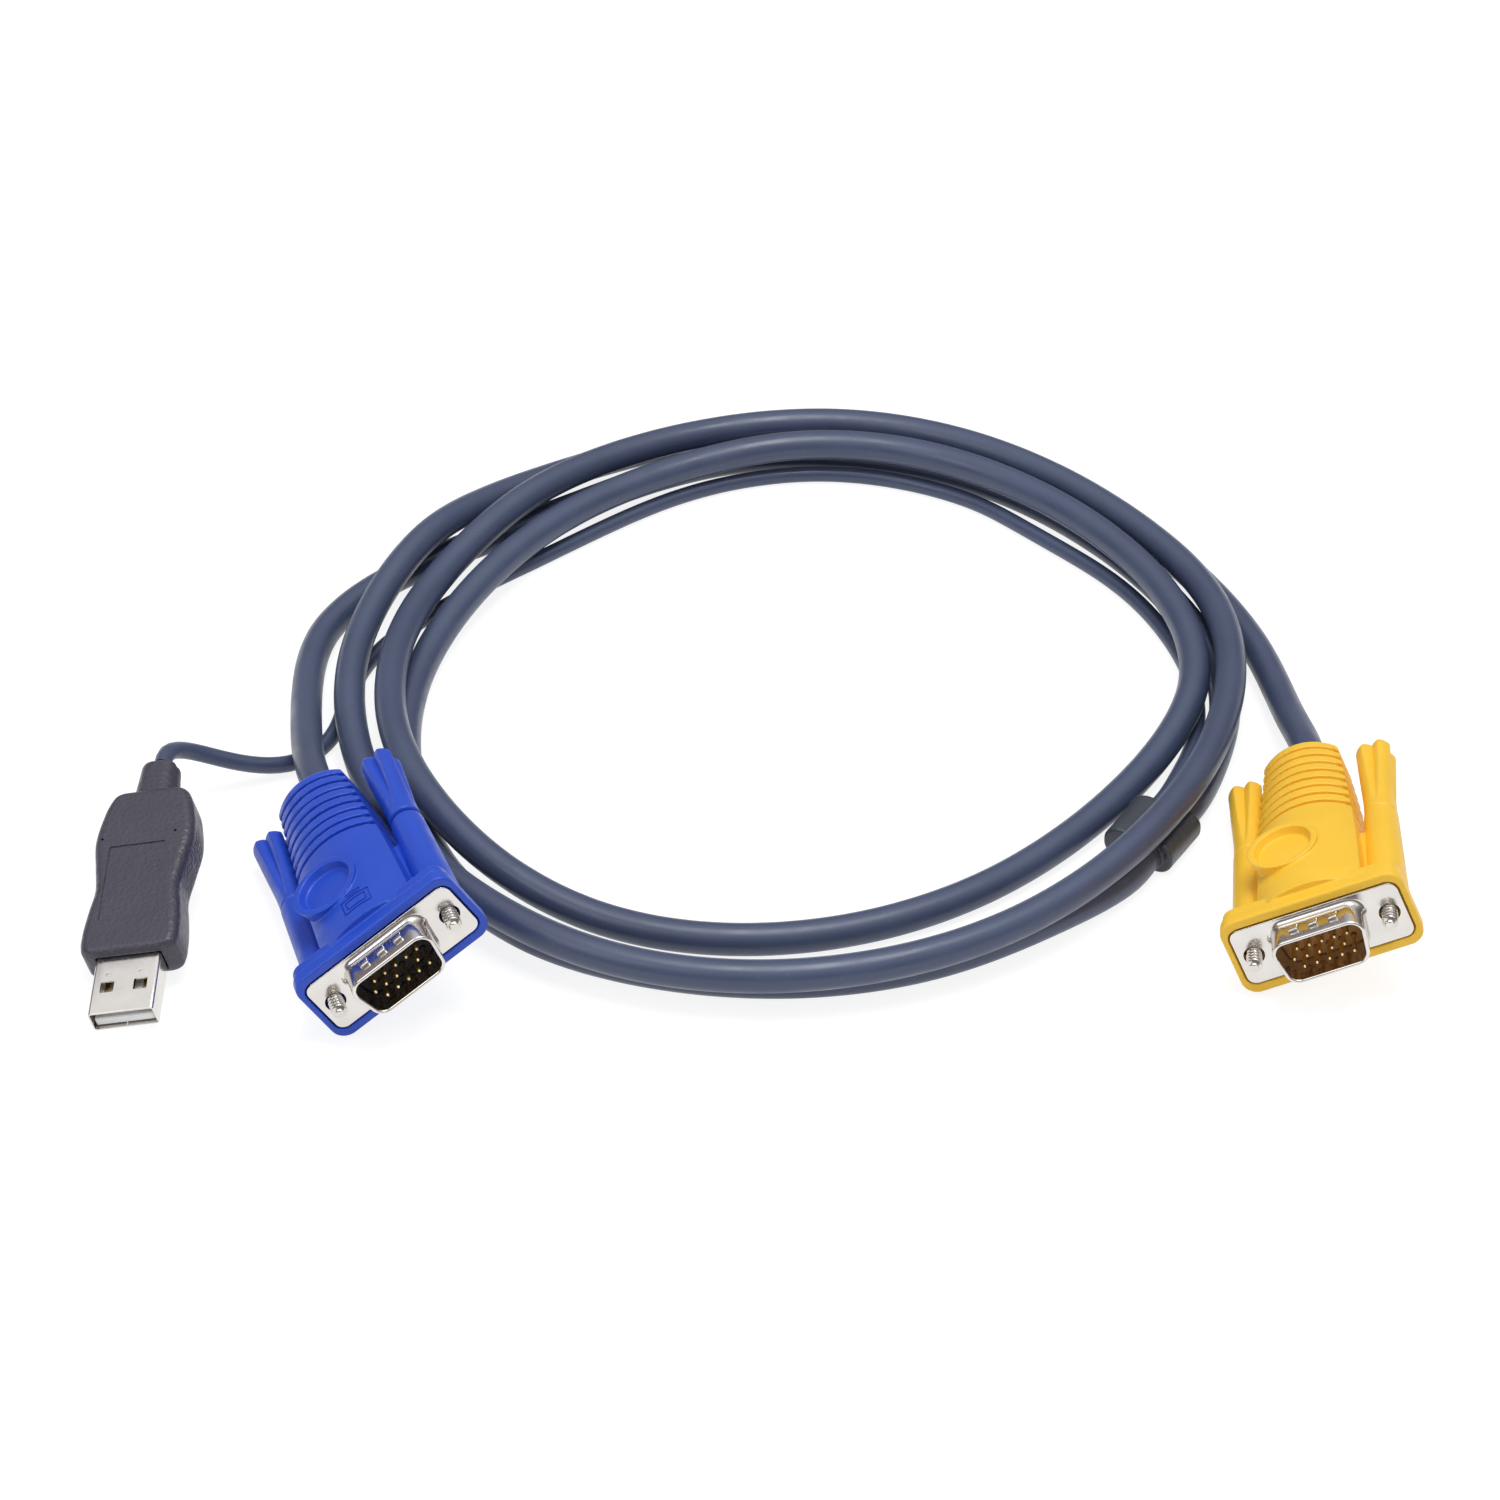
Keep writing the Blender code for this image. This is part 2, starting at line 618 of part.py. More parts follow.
    inner_floor = -USB_SHELL_HEIGHT / 2 + USB_SHELL_WALL
    tongue_length = USB_SHELL_REACH - TONGUE_SETBACK + USB_SHELL_SEAT
    tongue_middle = (USB_SHELL_SEAT - USB_SHELL_REACH + TONGUE_SETBACK) / 2
    tongue_z = inner_floor + GAP + TONGUE_THICKNESS / 2
    tongue = block((TONGUE_WIDTH, tongue_length, TONGUE_THICKNESS), (0.0, tongue_middle, tongue_z), 0.0002, 1)
    new_object("usb_tongue", finish_mesh(tongue, "usb_tongue"), WHITE, frame)
    for index, x in enumerate((-0.0035, -0.0010, 0.0010, 0.0035)):
        setback = POWER_CONTACT_SETBACK if index in (0, 3) else DATA_CONTACT_SETBACK
        contact = block(
            (CONTACT_WIDTH, CONTACT_LENGTH, CONTACT_HEIGHT),
            (
                x,
                setback - USB_SHELL_REACH + CONTACT_LENGTH / 2,
                tongue_z + TONGUE_THICKNESS / 2 + GAP + CONTACT_HEIGHT / 2,
            ),
        )
        name = f"usb_contact_{index + 1}"
        new_object(name, finish_mesh(contact, name), GOLD, frame)


def build_junction(frame):
    """The moulded block with a short ring round the thick cord that enters it."""
    size = (JUNCTION_WIDTH, JUNCTION_LENGTH, JUNCTION_HEIGHT)
    bm = block(size, (0.0, 0.0, 0.0))
    long_edges = [edge for edge in bm.edges if abs(edge.verts[0].co.y - edge.verts[1].co.y) > 0.001]
    bmesh.ops.bevel(bm, geom=long_edges, offset=JUNCTION_ROUND, segments=5, profile=0.5, affect="EDGES")
    junction = new_object("cable_junction", finish_mesh(bm, "cable_junction"), DARK_GREY, frame)
    end = -JUNCTION_LENGTH / 2
    ring = along_y(JUNCTION_RING_RADIUS, end - JUNCTION_RING_LENGTH, end + OVERRUN, 20, x=JUNCTION_CORD_X)
    tool = new_object("junction_ring", finish_mesh(ring, "junction_ring"), None, frame, cutters)
    as_cutter(tool)
    combine(junction, tool, "UNION")


def smooth_curve(points, count, straight):
    """Points at even steps along the natural cubic spline through the route's points, with a short step at
    each end, so that the tube leaves its plug squarely."""
    route = np.array(points, float)
    knots = np.concatenate([[0.0], np.cumsum(np.linalg.norm(np.diff(route, axis=0), axis=1) ** 0.75)])
    span = np.diff(knots)
    slope = np.diff(route, axis=0) / span[:, None]
    matrix = np.eye(len(route))
    right = np.zeros_like(route)
    for index in range(1, len(route) - 1):
        before, after = span[index - 1], span[index]
        matrix[index, index - 1 : index + 2] = before, 2 * (before + after), after
        right[index] = 6 * (slope[index] - slope[index - 1])
    bend = np.linalg.solve(matrix, right)

    def at(values):
        piece = np.clip(np.searchsorted(knots, values, side="right") - 1, 0, len(span) - 1)
        width = span[piece][:, None]
        left = (values - knots[piece])[:, None]
        rest = (knots[piece + 1] - values)[:, None]
        cubic = (bend[piece] * rest**3 + bend[piece + 1] * left**3) / (6 * width)
        start = (route[piece] / width - bend[piece] * width / 6) * rest
        stop = (route[piece + 1] / width - bend[piece + 1] * width / 6) * left
        return cubic + start + stop

    fine = at(np.linspace(0.0, knots[-1], 6000))
    travelled = np.concatenate([[0.0], np.cumsum(np.linalg.norm(np.diff(fine, axis=0), axis=1))])
    length = travelled[-1]
    stations = np.concatenate([[0.0], np.linspace(straight, length - straight, count - 2), [length]])
    return at(np.interp(stations, travelled, np.linspace(0.0, knots[-1], 6000)))


def build_cord(name, route, diameter, count, resolution, material):
    curve = bpy.data.curves.new(name, "CURVE")
    curve.dimensions = "3D"
    curve.bevel_depth = diameter / 2
    curve.bevel_resolution = resolution
    curve.use_fill_caps = True
    spline = curve.splines.new("POLY")
    points = smooth_curve(route, count, CORD_END_STEP)
    spline.points.add(count - 1)
    for point, place in zip(spline.points, points):
        point.co = (*place, 1.0)
    curve.materials.append(material)
    cord = bpy.data.objects.new(name, curve)
    parts.objects.link(cord)


# Routes of the cords' centre lines, in metres, chosen by hand along the photographed coil
MAIN_ROUTE = [
    (0.1034, 0.0341, 0.0102),
    (0.1036, 0.0400, 0.0096),
    (0.1022, 0.0576, 0.0056),
    (0.0985, 0.0819, 0.0036),
    (0.0896, 0.1062, 0.0031),
    (0.0759, 0.1278, 0.0030),
    (0.0584, 0.1458, 0.0030),
    (0.0370, 0.1585, 0.0030),
    (0.0128, 0.1636, 0.0030),
    (-0.0118, 0.1600, 0.0030),
    (-0.0346, 0.1486, 0.0036),
    (-0.0532, 0.1312, 0.0070),
    (-0.0659, 0.1114, 0.0102),
    (-0.0752, 0.0883, 0.0078),
    (-0.0774, 0.0649, 0.0064),
    (-0.0729, 0.0404, 0.0055),
    (-0.0635, 0.0175, 0.0075),
    (-0.0490, -0.0024, 0.0088),
    (-0.0286, -0.0165, 0.0081),
    (-0.0044, -0.0227, 0.0079),
    (0.0205, -0.0209, 0.0084),
    (0.0435, -0.0113, 0.0088),
    (0.0626, 0.0044, 0.0096),
    (0.0775, 0.0246, 0.0101),
    (0.0876, 0.0478, 0.0096),
    (0.0919, 0.0726, 0.0094),
    (0.0888, 0.0967, 0.0086),
    (0.0772, 0.1193, 0.0081),
    (0.0608, 0.1384, 0.0081),
    (0.0401, 0.1525, 0.0081),
    (0.0162, 0.1588, 0.0079),
    (-0.0085, 0.1555, 0.0077),
    (-0.0306, 0.1432, 0.0087),
    (-0.0472, 0.1260, 0.0097),
    (-0.0610, 0.1044, 0.0079),
    (-0.0683, 0.0814, 0.0079),
    (-0.0689, 0.0570, 0.0090),
    (-0.0626, 0.0329, 0.0097),
    (-0.0481, 0.0122, 0.0068),
    (-0.0281, -0.0010, 0.0036),
    (-0.0043, -0.0066, 0.0030),
    (0.0203, -0.0030, 0.0030),
    (0.0425, 0.0087, 0.0030),
    (0.0615, 0.0268, 0.0032),
    (0.0763, 0.0468, 0.0047),
    (0.0848, 0.0681, 0.0069),
    (0.0821, 0.0924, 0.0082),
    (0.0711, 0.1147, 0.0085),
    (0.0544, 0.1335, 0.0085),
    (0.0331, 0.1462, 0.0085),
    (0.0087, 0.1493, 0.0083),
    (-0.0149, 0.1422, 0.0072),
    (-0.0351, 0.1275, 0.0071),
    (-0.0507, 0.1082, 0.0063),
    (-0.0620, 0.0854, 0.0040),
    (-0.0662, 0.0615, 0.0031),
    (-0.0639, 0.0365, 0.0030),
    (-0.0560, 0.0130, 0.0030),
    (-0.0401, -0.0055, 0.0030),
    (-0.0174, -0.0158, 0.0030),
    (0.0076, -0.0184, 0.0030),
    (0.0321, -0.0131, 0.0030),
    (0.0535, -0.0010, 0.0031),
    (0.0681, 0.0112, 0.0032),
    (0.0713, 0.0163, 0.0033),
]
VIDEO_ROUTE = [
    (0.0787, 0.0284, 0.0033),
    (0.0818, 0.0336, 0.0032),
    (0.0860, 0.0442, 0.0030),
    (0.0900, 0.0597, 0.0031),
    (0.0903, 0.0767, 0.0030),
    (0.0859, 0.0933, 0.0030),
    (0.0787, 0.1089, 0.0030),
    (0.0691, 0.1231, 0.0030),
    (0.0575, 0.1356, 0.0030),
    (0.0438, 0.1456, 0.0030),
    (0.0281, 0.1520, 0.0030),
    (0.0113, 0.1541, 0.0030),
    (-0.0055, 0.1516, 0.0030),
    (-0.0209, 0.1448, 0.0030),
    (-0.0350, 0.1354, 0.0030),
    (-0.0491, 0.1256, 0.0030),
    (-0.0631, 0.1156, 0.0030),
    (-0.0757, 0.1040, 0.0030),
    (-0.0841, 0.0894, 0.0031),
    (-0.0860, 0.0720, 0.0039),
    (-0.0848, 0.0543, 0.0061),
    (-0.0828, 0.0394, 0.0088),
    (-0.0804, 0.0293, 0.0108),
    (-0.0786, 0.0236, 0.0113),
]
USB_ROUTE = [
    (0.0740, 0.0313, 0.0027),
    (0.0761, 0.0347, 0.0025),
    (0.0798, 0.0431, 0.0018),
    (0.0838, 0.0544, 0.0016),
    (0.0855, 0.0663, 0.0016),
    (0.0847, 0.0781, 0.0016),
    (0.0818, 0.0896, 0.0016),
    (0.0773, 0.1005, 0.0016),
    (0.0711, 0.1106, 0.0016),
    (0.0634, 0.1198, 0.0016),
    (0.0554, 0.1285, 0.0016),
    (0.0471, 0.1368, 0.0016),
    (0.0372, 0.1431, 0.0016),
    (0.0261, 0.1472, 0.0016),
    (0.0144, 0.1488, 0.0016),
    (0.0027, 0.1475, 0.0016),
    (-0.0085, 0.1437, 0.0016),
    (-0.0188, 0.1378, 0.0016),
    (-0.0281, 0.1306, 0.0016),
    (-0.0370, 0.1228, 0.0016),
    (-0.0458, 0.1149, 0.0016),
    (-0.0547, 0.1069, 0.0016),
    (-0.0629, 0.0984, 0.0016),
    (-0.0706, 0.0892, 0.0016),
    (-0.0759, 0.0786, 0.0017),
    (-0.0785, 0.0671, 0.0016),
    (-0.0806, 0.0556, 0.0017),
    (-0.0869, 0.0476, 0.0020),
    (-0.0977, 0.0424, 0.0062),
    (-0.1054, 0.0388, 0.0113),
    (-0.1083, 0.0332, 0.0145),
    (-0.1086, 0.0297, 0.0146),
]

NICKEL = finish("nickel", (0.75, 0.72, 0.66), 0.22, 1.0)
STEEL = finish("jackscrew_steel", (0.62, 0.60, 0.56), 0.3, 1.0)
GOLD = finish("gold_contact", (0.85, 0.62, 0.25), 0.3, 1.0)
YELLOW = finish("yellow_plastic", (0.95, 0.55, 0.03), 0.5)
BLUE = finish("blue_plastic", (0.03, 0.08, 0.55), 0.5)
AMBER = finish("amber_insulator", (0.16, 0.08, 0.03), 0.4)
BLACK = finish("black_insulator", (0.02, 0.02, 0.03), 0.4)
CHARCOAL = finish("charcoal_plastic", (0.07, 0.07, 0.09), 0.55)
DARK_GREY = finish("dark_grey_plastic", (0.06, 0.07, 0.09), 0.5)
WHITE = finish("white_tongue", (0.8, 0.8, 0.78), 0.5)
CORD = finish("slate_blue_cord", (0.07, 0.09, 0.15), 0.5)


def build_part():
    clear_scene()
    build_d_plug("yellow", YELLOW_PLACE, YELLOW_TILT, YELLOW, AMBER)
    build_d_plug("blue", BLUE_PLACE, BLUE_TILT, BLUE, BLACK, missing=(9,))
    build_usb_plug(frame_at("usb_plug", USB_PLACE, USB_TILT))
    build_junction(frame_at("junction", JUNCTION_PLACE, (0.0, 0.0, JUNCTION_YAW)))
    build_cord("main_cord", MAIN_ROUTE, CORD_DIAMETER, CORD_POINTS, 2, CORD)
    build_cord("video_cord", VIDEO_ROUTE, CORD_DIAMETER, VIDEO_CORD_POINTS, 2, CORD)
    build_cord("usb_cord", USB_ROUTE, USB_CORD_DIAMETER, USB_CORD_POINTS, 2, CORD)


build_part()
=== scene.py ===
"""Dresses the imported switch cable: vinyl hoods, plated plugs, threaded jackscrews and cords in a loose coil.

Units are metres and Z is up. Each plug is shaped in its own frame, as in the part's source: x runs along
the plate, y runs from the mating face back to the cord, and z points out of the thumb dish."""

import json
import math

import bmesh
import bpy
import numpy as np
from mathutils import Euler, Matrix, Vector


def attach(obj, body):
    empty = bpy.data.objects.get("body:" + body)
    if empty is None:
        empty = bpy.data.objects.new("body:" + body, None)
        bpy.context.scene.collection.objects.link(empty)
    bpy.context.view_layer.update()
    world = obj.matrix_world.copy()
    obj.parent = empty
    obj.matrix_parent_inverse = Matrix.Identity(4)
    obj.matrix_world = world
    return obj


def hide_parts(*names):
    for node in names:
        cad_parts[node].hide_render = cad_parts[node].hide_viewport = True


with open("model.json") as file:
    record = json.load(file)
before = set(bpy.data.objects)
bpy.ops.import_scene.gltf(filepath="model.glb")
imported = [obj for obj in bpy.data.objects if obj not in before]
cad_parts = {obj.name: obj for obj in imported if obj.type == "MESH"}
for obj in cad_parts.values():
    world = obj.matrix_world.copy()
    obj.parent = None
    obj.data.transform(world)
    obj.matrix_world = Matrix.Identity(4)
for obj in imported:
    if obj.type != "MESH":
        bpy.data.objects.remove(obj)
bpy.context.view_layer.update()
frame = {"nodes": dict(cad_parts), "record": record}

# Camera: the floor point it looks at, its distance and how far it looks down
AIM = (-0.00062, 0.05427, 0.0)
CAMERA_DISTANCE = 0.8004
CAMERA_PITCH = 36.5
CAMERA_LENS = 100.8
SENSOR_WIDTH = 36.0

# How each plug lies: place of its frame, then (pitch about x, roll about y, yaw about z) in degrees
YELLOW_PLACE = (0.09916, -0.01893, 0.01421)
YELLOW_TILT = (-4.55, -24.77, -4.55)
BLUE_PLACE = (-0.06239, -0.02703, 0.01544)
BLUE_TILT = (-4.84, -32.02, 17.79)
USB_PLACE = (-0.10952, -0.01658, 0.00559)
USB_TILT = (10.91, -11.49, -1.14)
JUNCTION_PLACE = (0.07356, 0.02392, 0.0033)
JUNCTION_TILT = (0.0, 0.0, -31.54)

# Fifteen-pin D plug: metal parts
SCREW_SPACING = 0.02499
PLATE_WIDTH = 0.0308
PLATE_HEIGHT = 0.0117
PLATE_THICKNESS = 0.0008
PLATE_CORNER = 0.0018
PLATE_HOLE = 0.0038
D_WIDTH = 0.0179
D_HEIGHT = 0.0093
D_REACH = 0.0061
D_WALL = 0.0007
D_CORNER = 0.0027
D_SLANT = math.radians(10)
D_ROOT = 0.0010
DIMPLE_SIZE = 0.0017
DIMPLE_HEIGHT = 0.0006
DIMPLE_PITCH = 0.0036
PIN_DIAMETER = 0.00076
PIN_PITCH = 0.00229
ROW_PITCH = 0.00198
PIN_REACH = 0.0054
PIN_SEAT = 0.0020
PINS_PER_ROW = 5
RECESS_GAP = 0.0003
CORE_DEPTH = 0.0056
INSULATOR_DEPTH = 0.0050
INSULATOR_SETBACK = 0.0002

# Fifteen-pin D plug: hood
FLANGE_WIDTH = 0.0336
FLANGE_HEIGHT = 0.0158
FLANGE_CORNER = 0.0030
LIP_DEPTH = 0.0028
LIP_LINE = 0.0003
FLANGE_DEPTH = 0.0052
FLANGE_STEP = 0.0005
BODY_FRONT_HALF_WIDTH = 0.0096
BODY_REAR_HALF_WIDTH = 0.0071
BODY_FRONT_CROWN = 0.0093
BODY_REAR_CROWN = 0.0067
BODY_FRONT_SHOULDER = 0.0060
BODY_REAR_SHOULDER = 0.0036
BODY_REAR_SHIFT = -0.0008
HOOD_LENGTH = 0.0537
RIB_PITCH = 0.0030
RIB_COUNT = 8
RIB_REAR_LAND = 0.0025
REAR_EDGE = 0.0008
TAPER_POWER = 1.7
LEAN_POWER = 3
GROOVE_WIDTH = 0.0009
GROOVE_DEPTH = 0.0011
NOTCH_WIDTH = 0.0015
NOTCH_DEPTH = 0.0011
DISH_X = -0.0033
DISH_Y = 0.0168
DISH_RADIUS = 0.0066
DISH_FOOT_RADIUS = 0.0046
DISH_RIM = 0.0012
DISH_TOP = 0.0096
DISH_DEPTH = 0.0016
DISH_FLOOR_RADIUS = 0.0048
DISH_DOME = 0.0003
SCREEN_PLACE = (0.0008, 0.0074)
SCREEN_LINE = 0.00032
SLEEVE_FRONT_RADIUS = 0.0038
SLEEVE_REAR_RADIUS = 0.0031
SLEEVE_END = 0.0303
SLEEVE_BORE = 0.0036
WEB_END = 0.0240
WEB_THICKNESS = 0.0044

# Thumbscrews
SCREW_DIAMETER = 0.00284
SCREW_TIP = 0.0041
SCREW_TAPER = 0.0010
# Coarser than the real thread, so that it shows
THREAD_PITCH = 0.00085
THREAD_DEPTH = 0.00042
THREAD_LENGTH = 0.0075
KNOB_START = SLEEVE_END + 0.0003
KNOB_LENGTH = 0.0217
KNOB_SEAM_RADIUS = 0.0030
KNOB_END_RADIUS = 0.0037
KNOB_FLUTES = 4
KNOB_FLUTE_DEPTH = 0.42
KNOB_SEAT = 0.0075
# One knob of the blue plug stands off its sleeve on a thin neck
KNOB_GAP = 0.0011
KNOB_NECK_RADIUS = 0.00186

# USB plug
USB_SHELL_WIDTH = 0.0120
USB_SHELL_HEIGHT = 0.0045
USB_SHELL_WALL = 0.0003
USB_SHELL_REACH = 0.0125
USB_SHELL_SEAT = 0.0040
USB_WINDOW_WIDTH = 0.0025
USB_WINDOW_LENGTH = 0.0024
USB_WINDOW_Y = 0.0067
USB_WINDOW_SPACING = 0.0061
USB_HALF_HEIGHT = 0.0041
USB_BODY_LENGTH = 0.0384
USB_CORNER = 0.0017
COLLAR_LENGTH = 0.0080
COLLAR_HALF_WIDTH = 0.0038
COLLAR_HALF_HEIGHT = 0.0034
COLLAR_NOTCH = (0.0016, 0.0020, 0.0016)
PANEL_CORNERS = [(-0.0060, 0.0072), (0.0046, 0.0072), (0.0046, 0.0248), (-0.0060, 0.0248)]
PANEL_DOTS = ((-0.0076, 0.0268), (0.0061, 0.0269))
GRIP_LINE = (0.0009, 0.0090, 0.00024)
GRIP_PITCH = 0.00075
STAMP = (0.0010, 0.0006, 0.00012)

# Junction block
JUNCTION_WIDTH = 0.0140
JUNCTION_LENGTH = 0.0124
JUNCTION_HEIGHT = 0.0066
JUNCTION_ROUND = 0.0030
JUNCTION_CORD_X = 0.0020
JUNCTION_RING_RADIUS = 0.0031
JUNCTION_RING_LENGTH = 0.0012

# Cords
CORD_DIAMETER = 0.0060
USB_CORD_DIAMETER = 0.0032
CORD_STEP = 0.0020

# Fineness of the moulded pieces: they are joined, remeshed at this size and softened
VOXEL = 0.00018
SOFTENING = 1
KEPT_SHARE = 0.35


# Routes of the cords' centre lines, in metres, chosen along the photographed coil
MAIN_ROUTE = [
    (0.1034, 0.0341, 0.0102),
    (0.1036, 0.0400, 0.0096),
    (0.1022, 0.0576, 0.0056),
    (0.0985, 0.0819, 0.0036),
    (0.0896, 0.1062, 0.0031),
    (0.0759, 0.1278, 0.0030),
    (0.0584, 0.1458, 0.0030),
    (0.0370, 0.1585, 0.0030),
    (0.0128, 0.1636, 0.0030),
    (-0.0118, 0.1600, 0.0030),
    (-0.0346, 0.1486, 0.0036),
    (-0.0532, 0.1312, 0.0070),
    (-0.0659, 0.1114, 0.0102),
    (-0.0752, 0.0883, 0.0078),
    (-0.0774, 0.0649, 0.0064),
    (-0.0729, 0.0404, 0.0055),
    (-0.0635, 0.0175, 0.0075),
    (-0.0490, -0.0024, 0.0088),
    (-0.0286, -0.0165, 0.0081),
    (-0.0044, -0.0227, 0.0079),
    (0.0205, -0.0209, 0.0084),
    (0.0435, -0.0113, 0.0088),
    (0.0626, 0.0044, 0.0096),
    (0.0775, 0.0246, 0.0101),
    (0.0876, 0.0478, 0.0096),
    (0.0919, 0.0726, 0.0094),
    (0.0888, 0.0967, 0.0086),
    (0.0772, 0.1193, 0.0081),
    (0.0608, 0.1384, 0.0081),
    (0.0401, 0.1525, 0.0081),
    (0.0162, 0.1588, 0.0079),
    (-0.0085, 0.1555, 0.0077),
    (-0.0306, 0.1432, 0.0087),
    (-0.0472, 0.1260, 0.0097),
    (-0.0610, 0.1044, 0.0079),
    (-0.0683, 0.0814, 0.0079),
    (-0.0689, 0.0570, 0.0090),
    (-0.0626, 0.0329, 0.0097),
    (-0.0481, 0.0122, 0.0068),
    (-0.0281, -0.0010, 0.0036),
    (-0.0043, -0.0066, 0.0030),
    (0.0203, -0.0030, 0.0030),
    (0.0425, 0.0087, 0.0030),
    (0.0615, 0.0268, 0.0032),
    (0.0763, 0.0468, 0.0047),
    (0.0848, 0.0681, 0.0069),
    (0.0821, 0.0924, 0.0082),
    (0.0711, 0.1147, 0.0085),
    (0.0544, 0.1335, 0.0085),
    (0.0331, 0.1462, 0.0085),
    (0.0087, 0.1493, 0.0083),
    (-0.0149, 0.1422, 0.0072),
    (-0.0351, 0.1275, 0.0071),
    (-0.0507, 0.1082, 0.0063),
    (-0.0620, 0.0854, 0.0040),
    (-0.0662, 0.0615, 0.0031),
    (-0.0639, 0.0365, 0.0030),
    (-0.0560, 0.0130, 0.0030),
    (-0.0401, -0.0055, 0.0030),
    (-0.0174, -0.0158, 0.0030),
    (0.0076, -0.0184, 0.0030),
    (0.0321, -0.0131, 0.0030),
    (0.0535, -0.0010, 0.0031),
    (0.0681, 0.0112, 0.0032),
    (0.0713, 0.0163, 0.0033),
]
VIDEO_ROUTE = [
    (0.0787, 0.0284, 0.0033),
    (0.0818, 0.0336, 0.0032),
    (0.0860, 0.0442, 0.0030),
    (0.0900, 0.0597, 0.0031),
    (0.0903, 0.0767, 0.0030),
    (0.0859, 0.0933, 0.0030),
    (0.0787, 0.1089, 0.0030),
    (0.0691, 0.1231, 0.0030),
    (0.0575, 0.1356, 0.0030),
    (0.0438, 0.1456, 0.0030),
    (0.0281, 0.1520, 0.0030),
    (0.0113, 0.1541, 0.0030),
    (-0.0055, 0.1516, 0.0030),
    (-0.0209, 0.1448, 0.0030),
    (-0.0350, 0.1354, 0.0030),
    (-0.0491, 0.1256, 0.0030),
    (-0.0631, 0.1156, 0.0030),
    (-0.0757, 0.1040, 0.0030),
    (-0.0841, 0.0894, 0.0031),
    (-0.0860, 0.0720, 0.0039),
    (-0.0848, 0.0543, 0.0061),
    (-0.0828, 0.0394, 0.0088),
    (-0.0804, 0.0293, 0.0108),
    (-0.0786, 0.0236, 0.0113),
]
USB_ROUTE = [
    (0.0740, 0.0313, 0.0027),
    (0.0761, 0.0347, 0.0025),
    (0.0798, 0.0431, 0.0018),
    (0.0838, 0.0544, 0.0016),
    (0.0855, 0.0663, 0.0016),
    (0.0847, 0.0781, 0.0016),
    (0.0818, 0.0896, 0.0016),
    (0.0773, 0.1005, 0.0016),
    (0.0711, 0.1106, 0.0016),
    (0.0634, 0.1198, 0.0016),
    (0.0554, 0.1285, 0.0016),
    (0.0471, 0.1368, 0.0016),
    (0.0372, 0.1431, 0.0016),
    (0.0261, 0.1472, 0.0016),
    (0.0144, 0.1488, 0.0016),
    (0.0027, 0.1475, 0.0016),
    (-0.0085, 0.1437, 0.0016),
    (-0.0188, 0.1378, 0.0016),
    (-0.0281, 0.1306, 0.0016),
    (-0.0370, 0.1228, 0.0016),
    (-0.0458, 0.1149, 0.0016),
    (-0.0547, 0.1069, 0.0016),
    (-0.0629, 0.0984, 0.0016),
    (-0.0706, 0.0892, 0.0016),
    (-0.0759, 0.0786, 0.0017),
    (-0.0785, 0.0671, 0.0016),
    (-0.0806, 0.0556, 0.0017),
    (-0.0869, 0.0476, 0.0020),
    (-0.0977, 0.0424, 0.0062),
    (-0.1054, 0.0388, 0.0113),
    (-0.1083, 0.0332, 0.0145),
    (-0.1086, 0.0297, 0.0146),
]


def add_node(tree, kind, inputs=None, **settings):
    node = tree.nodes.new("ShaderNode" + kind)
    for name, value in settings.items():
        setattr(node, name, value)
    for name, value in (inputs or {}).items():
        if isinstance(value, bpy.types.NodeSocket):
            tree.links.new(value, node.inputs[name])
        else:
            node.inputs[name].default_value = value
    return node


def noise(tree, vector, scale, detail=3.0, roughness=0.55):
    inputs = {"Vector": vector, "Scale": scale, "Detail": detail, "Roughness": roughness}
    return add_node(tree, "TexNoise", inputs).outputs["Fac"]


def spread(tree, value, low, high, start=0.35, end=0.65):
    """Maps a noise value to the range low to high."""
    inputs = {"Value": value, "From Min": start, "From Max": end, "To Min": low, "To Max": high}
    return add_node(tree, "MapRange", inputs).outputs["Result"]


def blend(tree, share, first, second):
    node = add_node(tree, "Mix", data_type="RGBA")
    for socket, value in ((node.inputs[0], share), (node.inputs[6], first), (node.inputs[7], second)):
        if isinstance(value, bpy.types.NodeSocket):
            tree.links.new(value, socket)
        else:
            socket.default_value = value
    return node.outputs[2]


def shade(colour, factor):
    return (*(min(channel * factor, 1.0) for channel in colour), 1.0)


def start_material(name):
    material = bpy.data.materials.new(name)
    material.use_nodes = True
    tree = material.node_tree
    place = add_node(tree, "TexCoord").outputs["Object"]
    return material, tree, tree.nodes["Principled BSDF"], place


def moulded(name, colour, roughness, grain=2600.0, grain_depth=0.000012, variation=0.05):
    """Moulded vinyl: a fine grained surface, slightly uneven in colour and in gloss."""
    material, tree, shader, place = start_material(name)
    cloud = noise(tree, place, 90.0, 4.0)
    speck = noise(tree, place, grain, 2.0)
    pores = add_node(tree, "TexVoronoi", {"Vector": place, "Scale": grain * 0.7}).outputs["Distance"]
    darker, lighter = shade(colour, 1 - variation), shade(colour, 1 + variation)
    tone = blend(tree, spread(tree, cloud, 0.0, 1.0), darker, lighter)
    tone = blend(tree, spread(tree, speck, 0.0, 0.35), tone, shade(colour, 1 - 2.4 * variation))
    tree.links.new(tone, shader.inputs["Base Color"])
    gloss = noise(tree, place, 240.0, 3.0)
    tree.links.new(spread(tree, gloss, roughness - 0.06, roughness + 0.08), shader.inputs["Roughness"])
    fine = add_node(tree, "Bump", {"Height": speck, "Distance": grain_depth}).outputs["Normal"]
    coarse = add_node(tree, "Bump", {"Height": pores, "Distance": grain_depth, "Normal": fine})
    tree.links.new(coarse.outputs["Normal"], shader.inputs["Normal"])
    return material


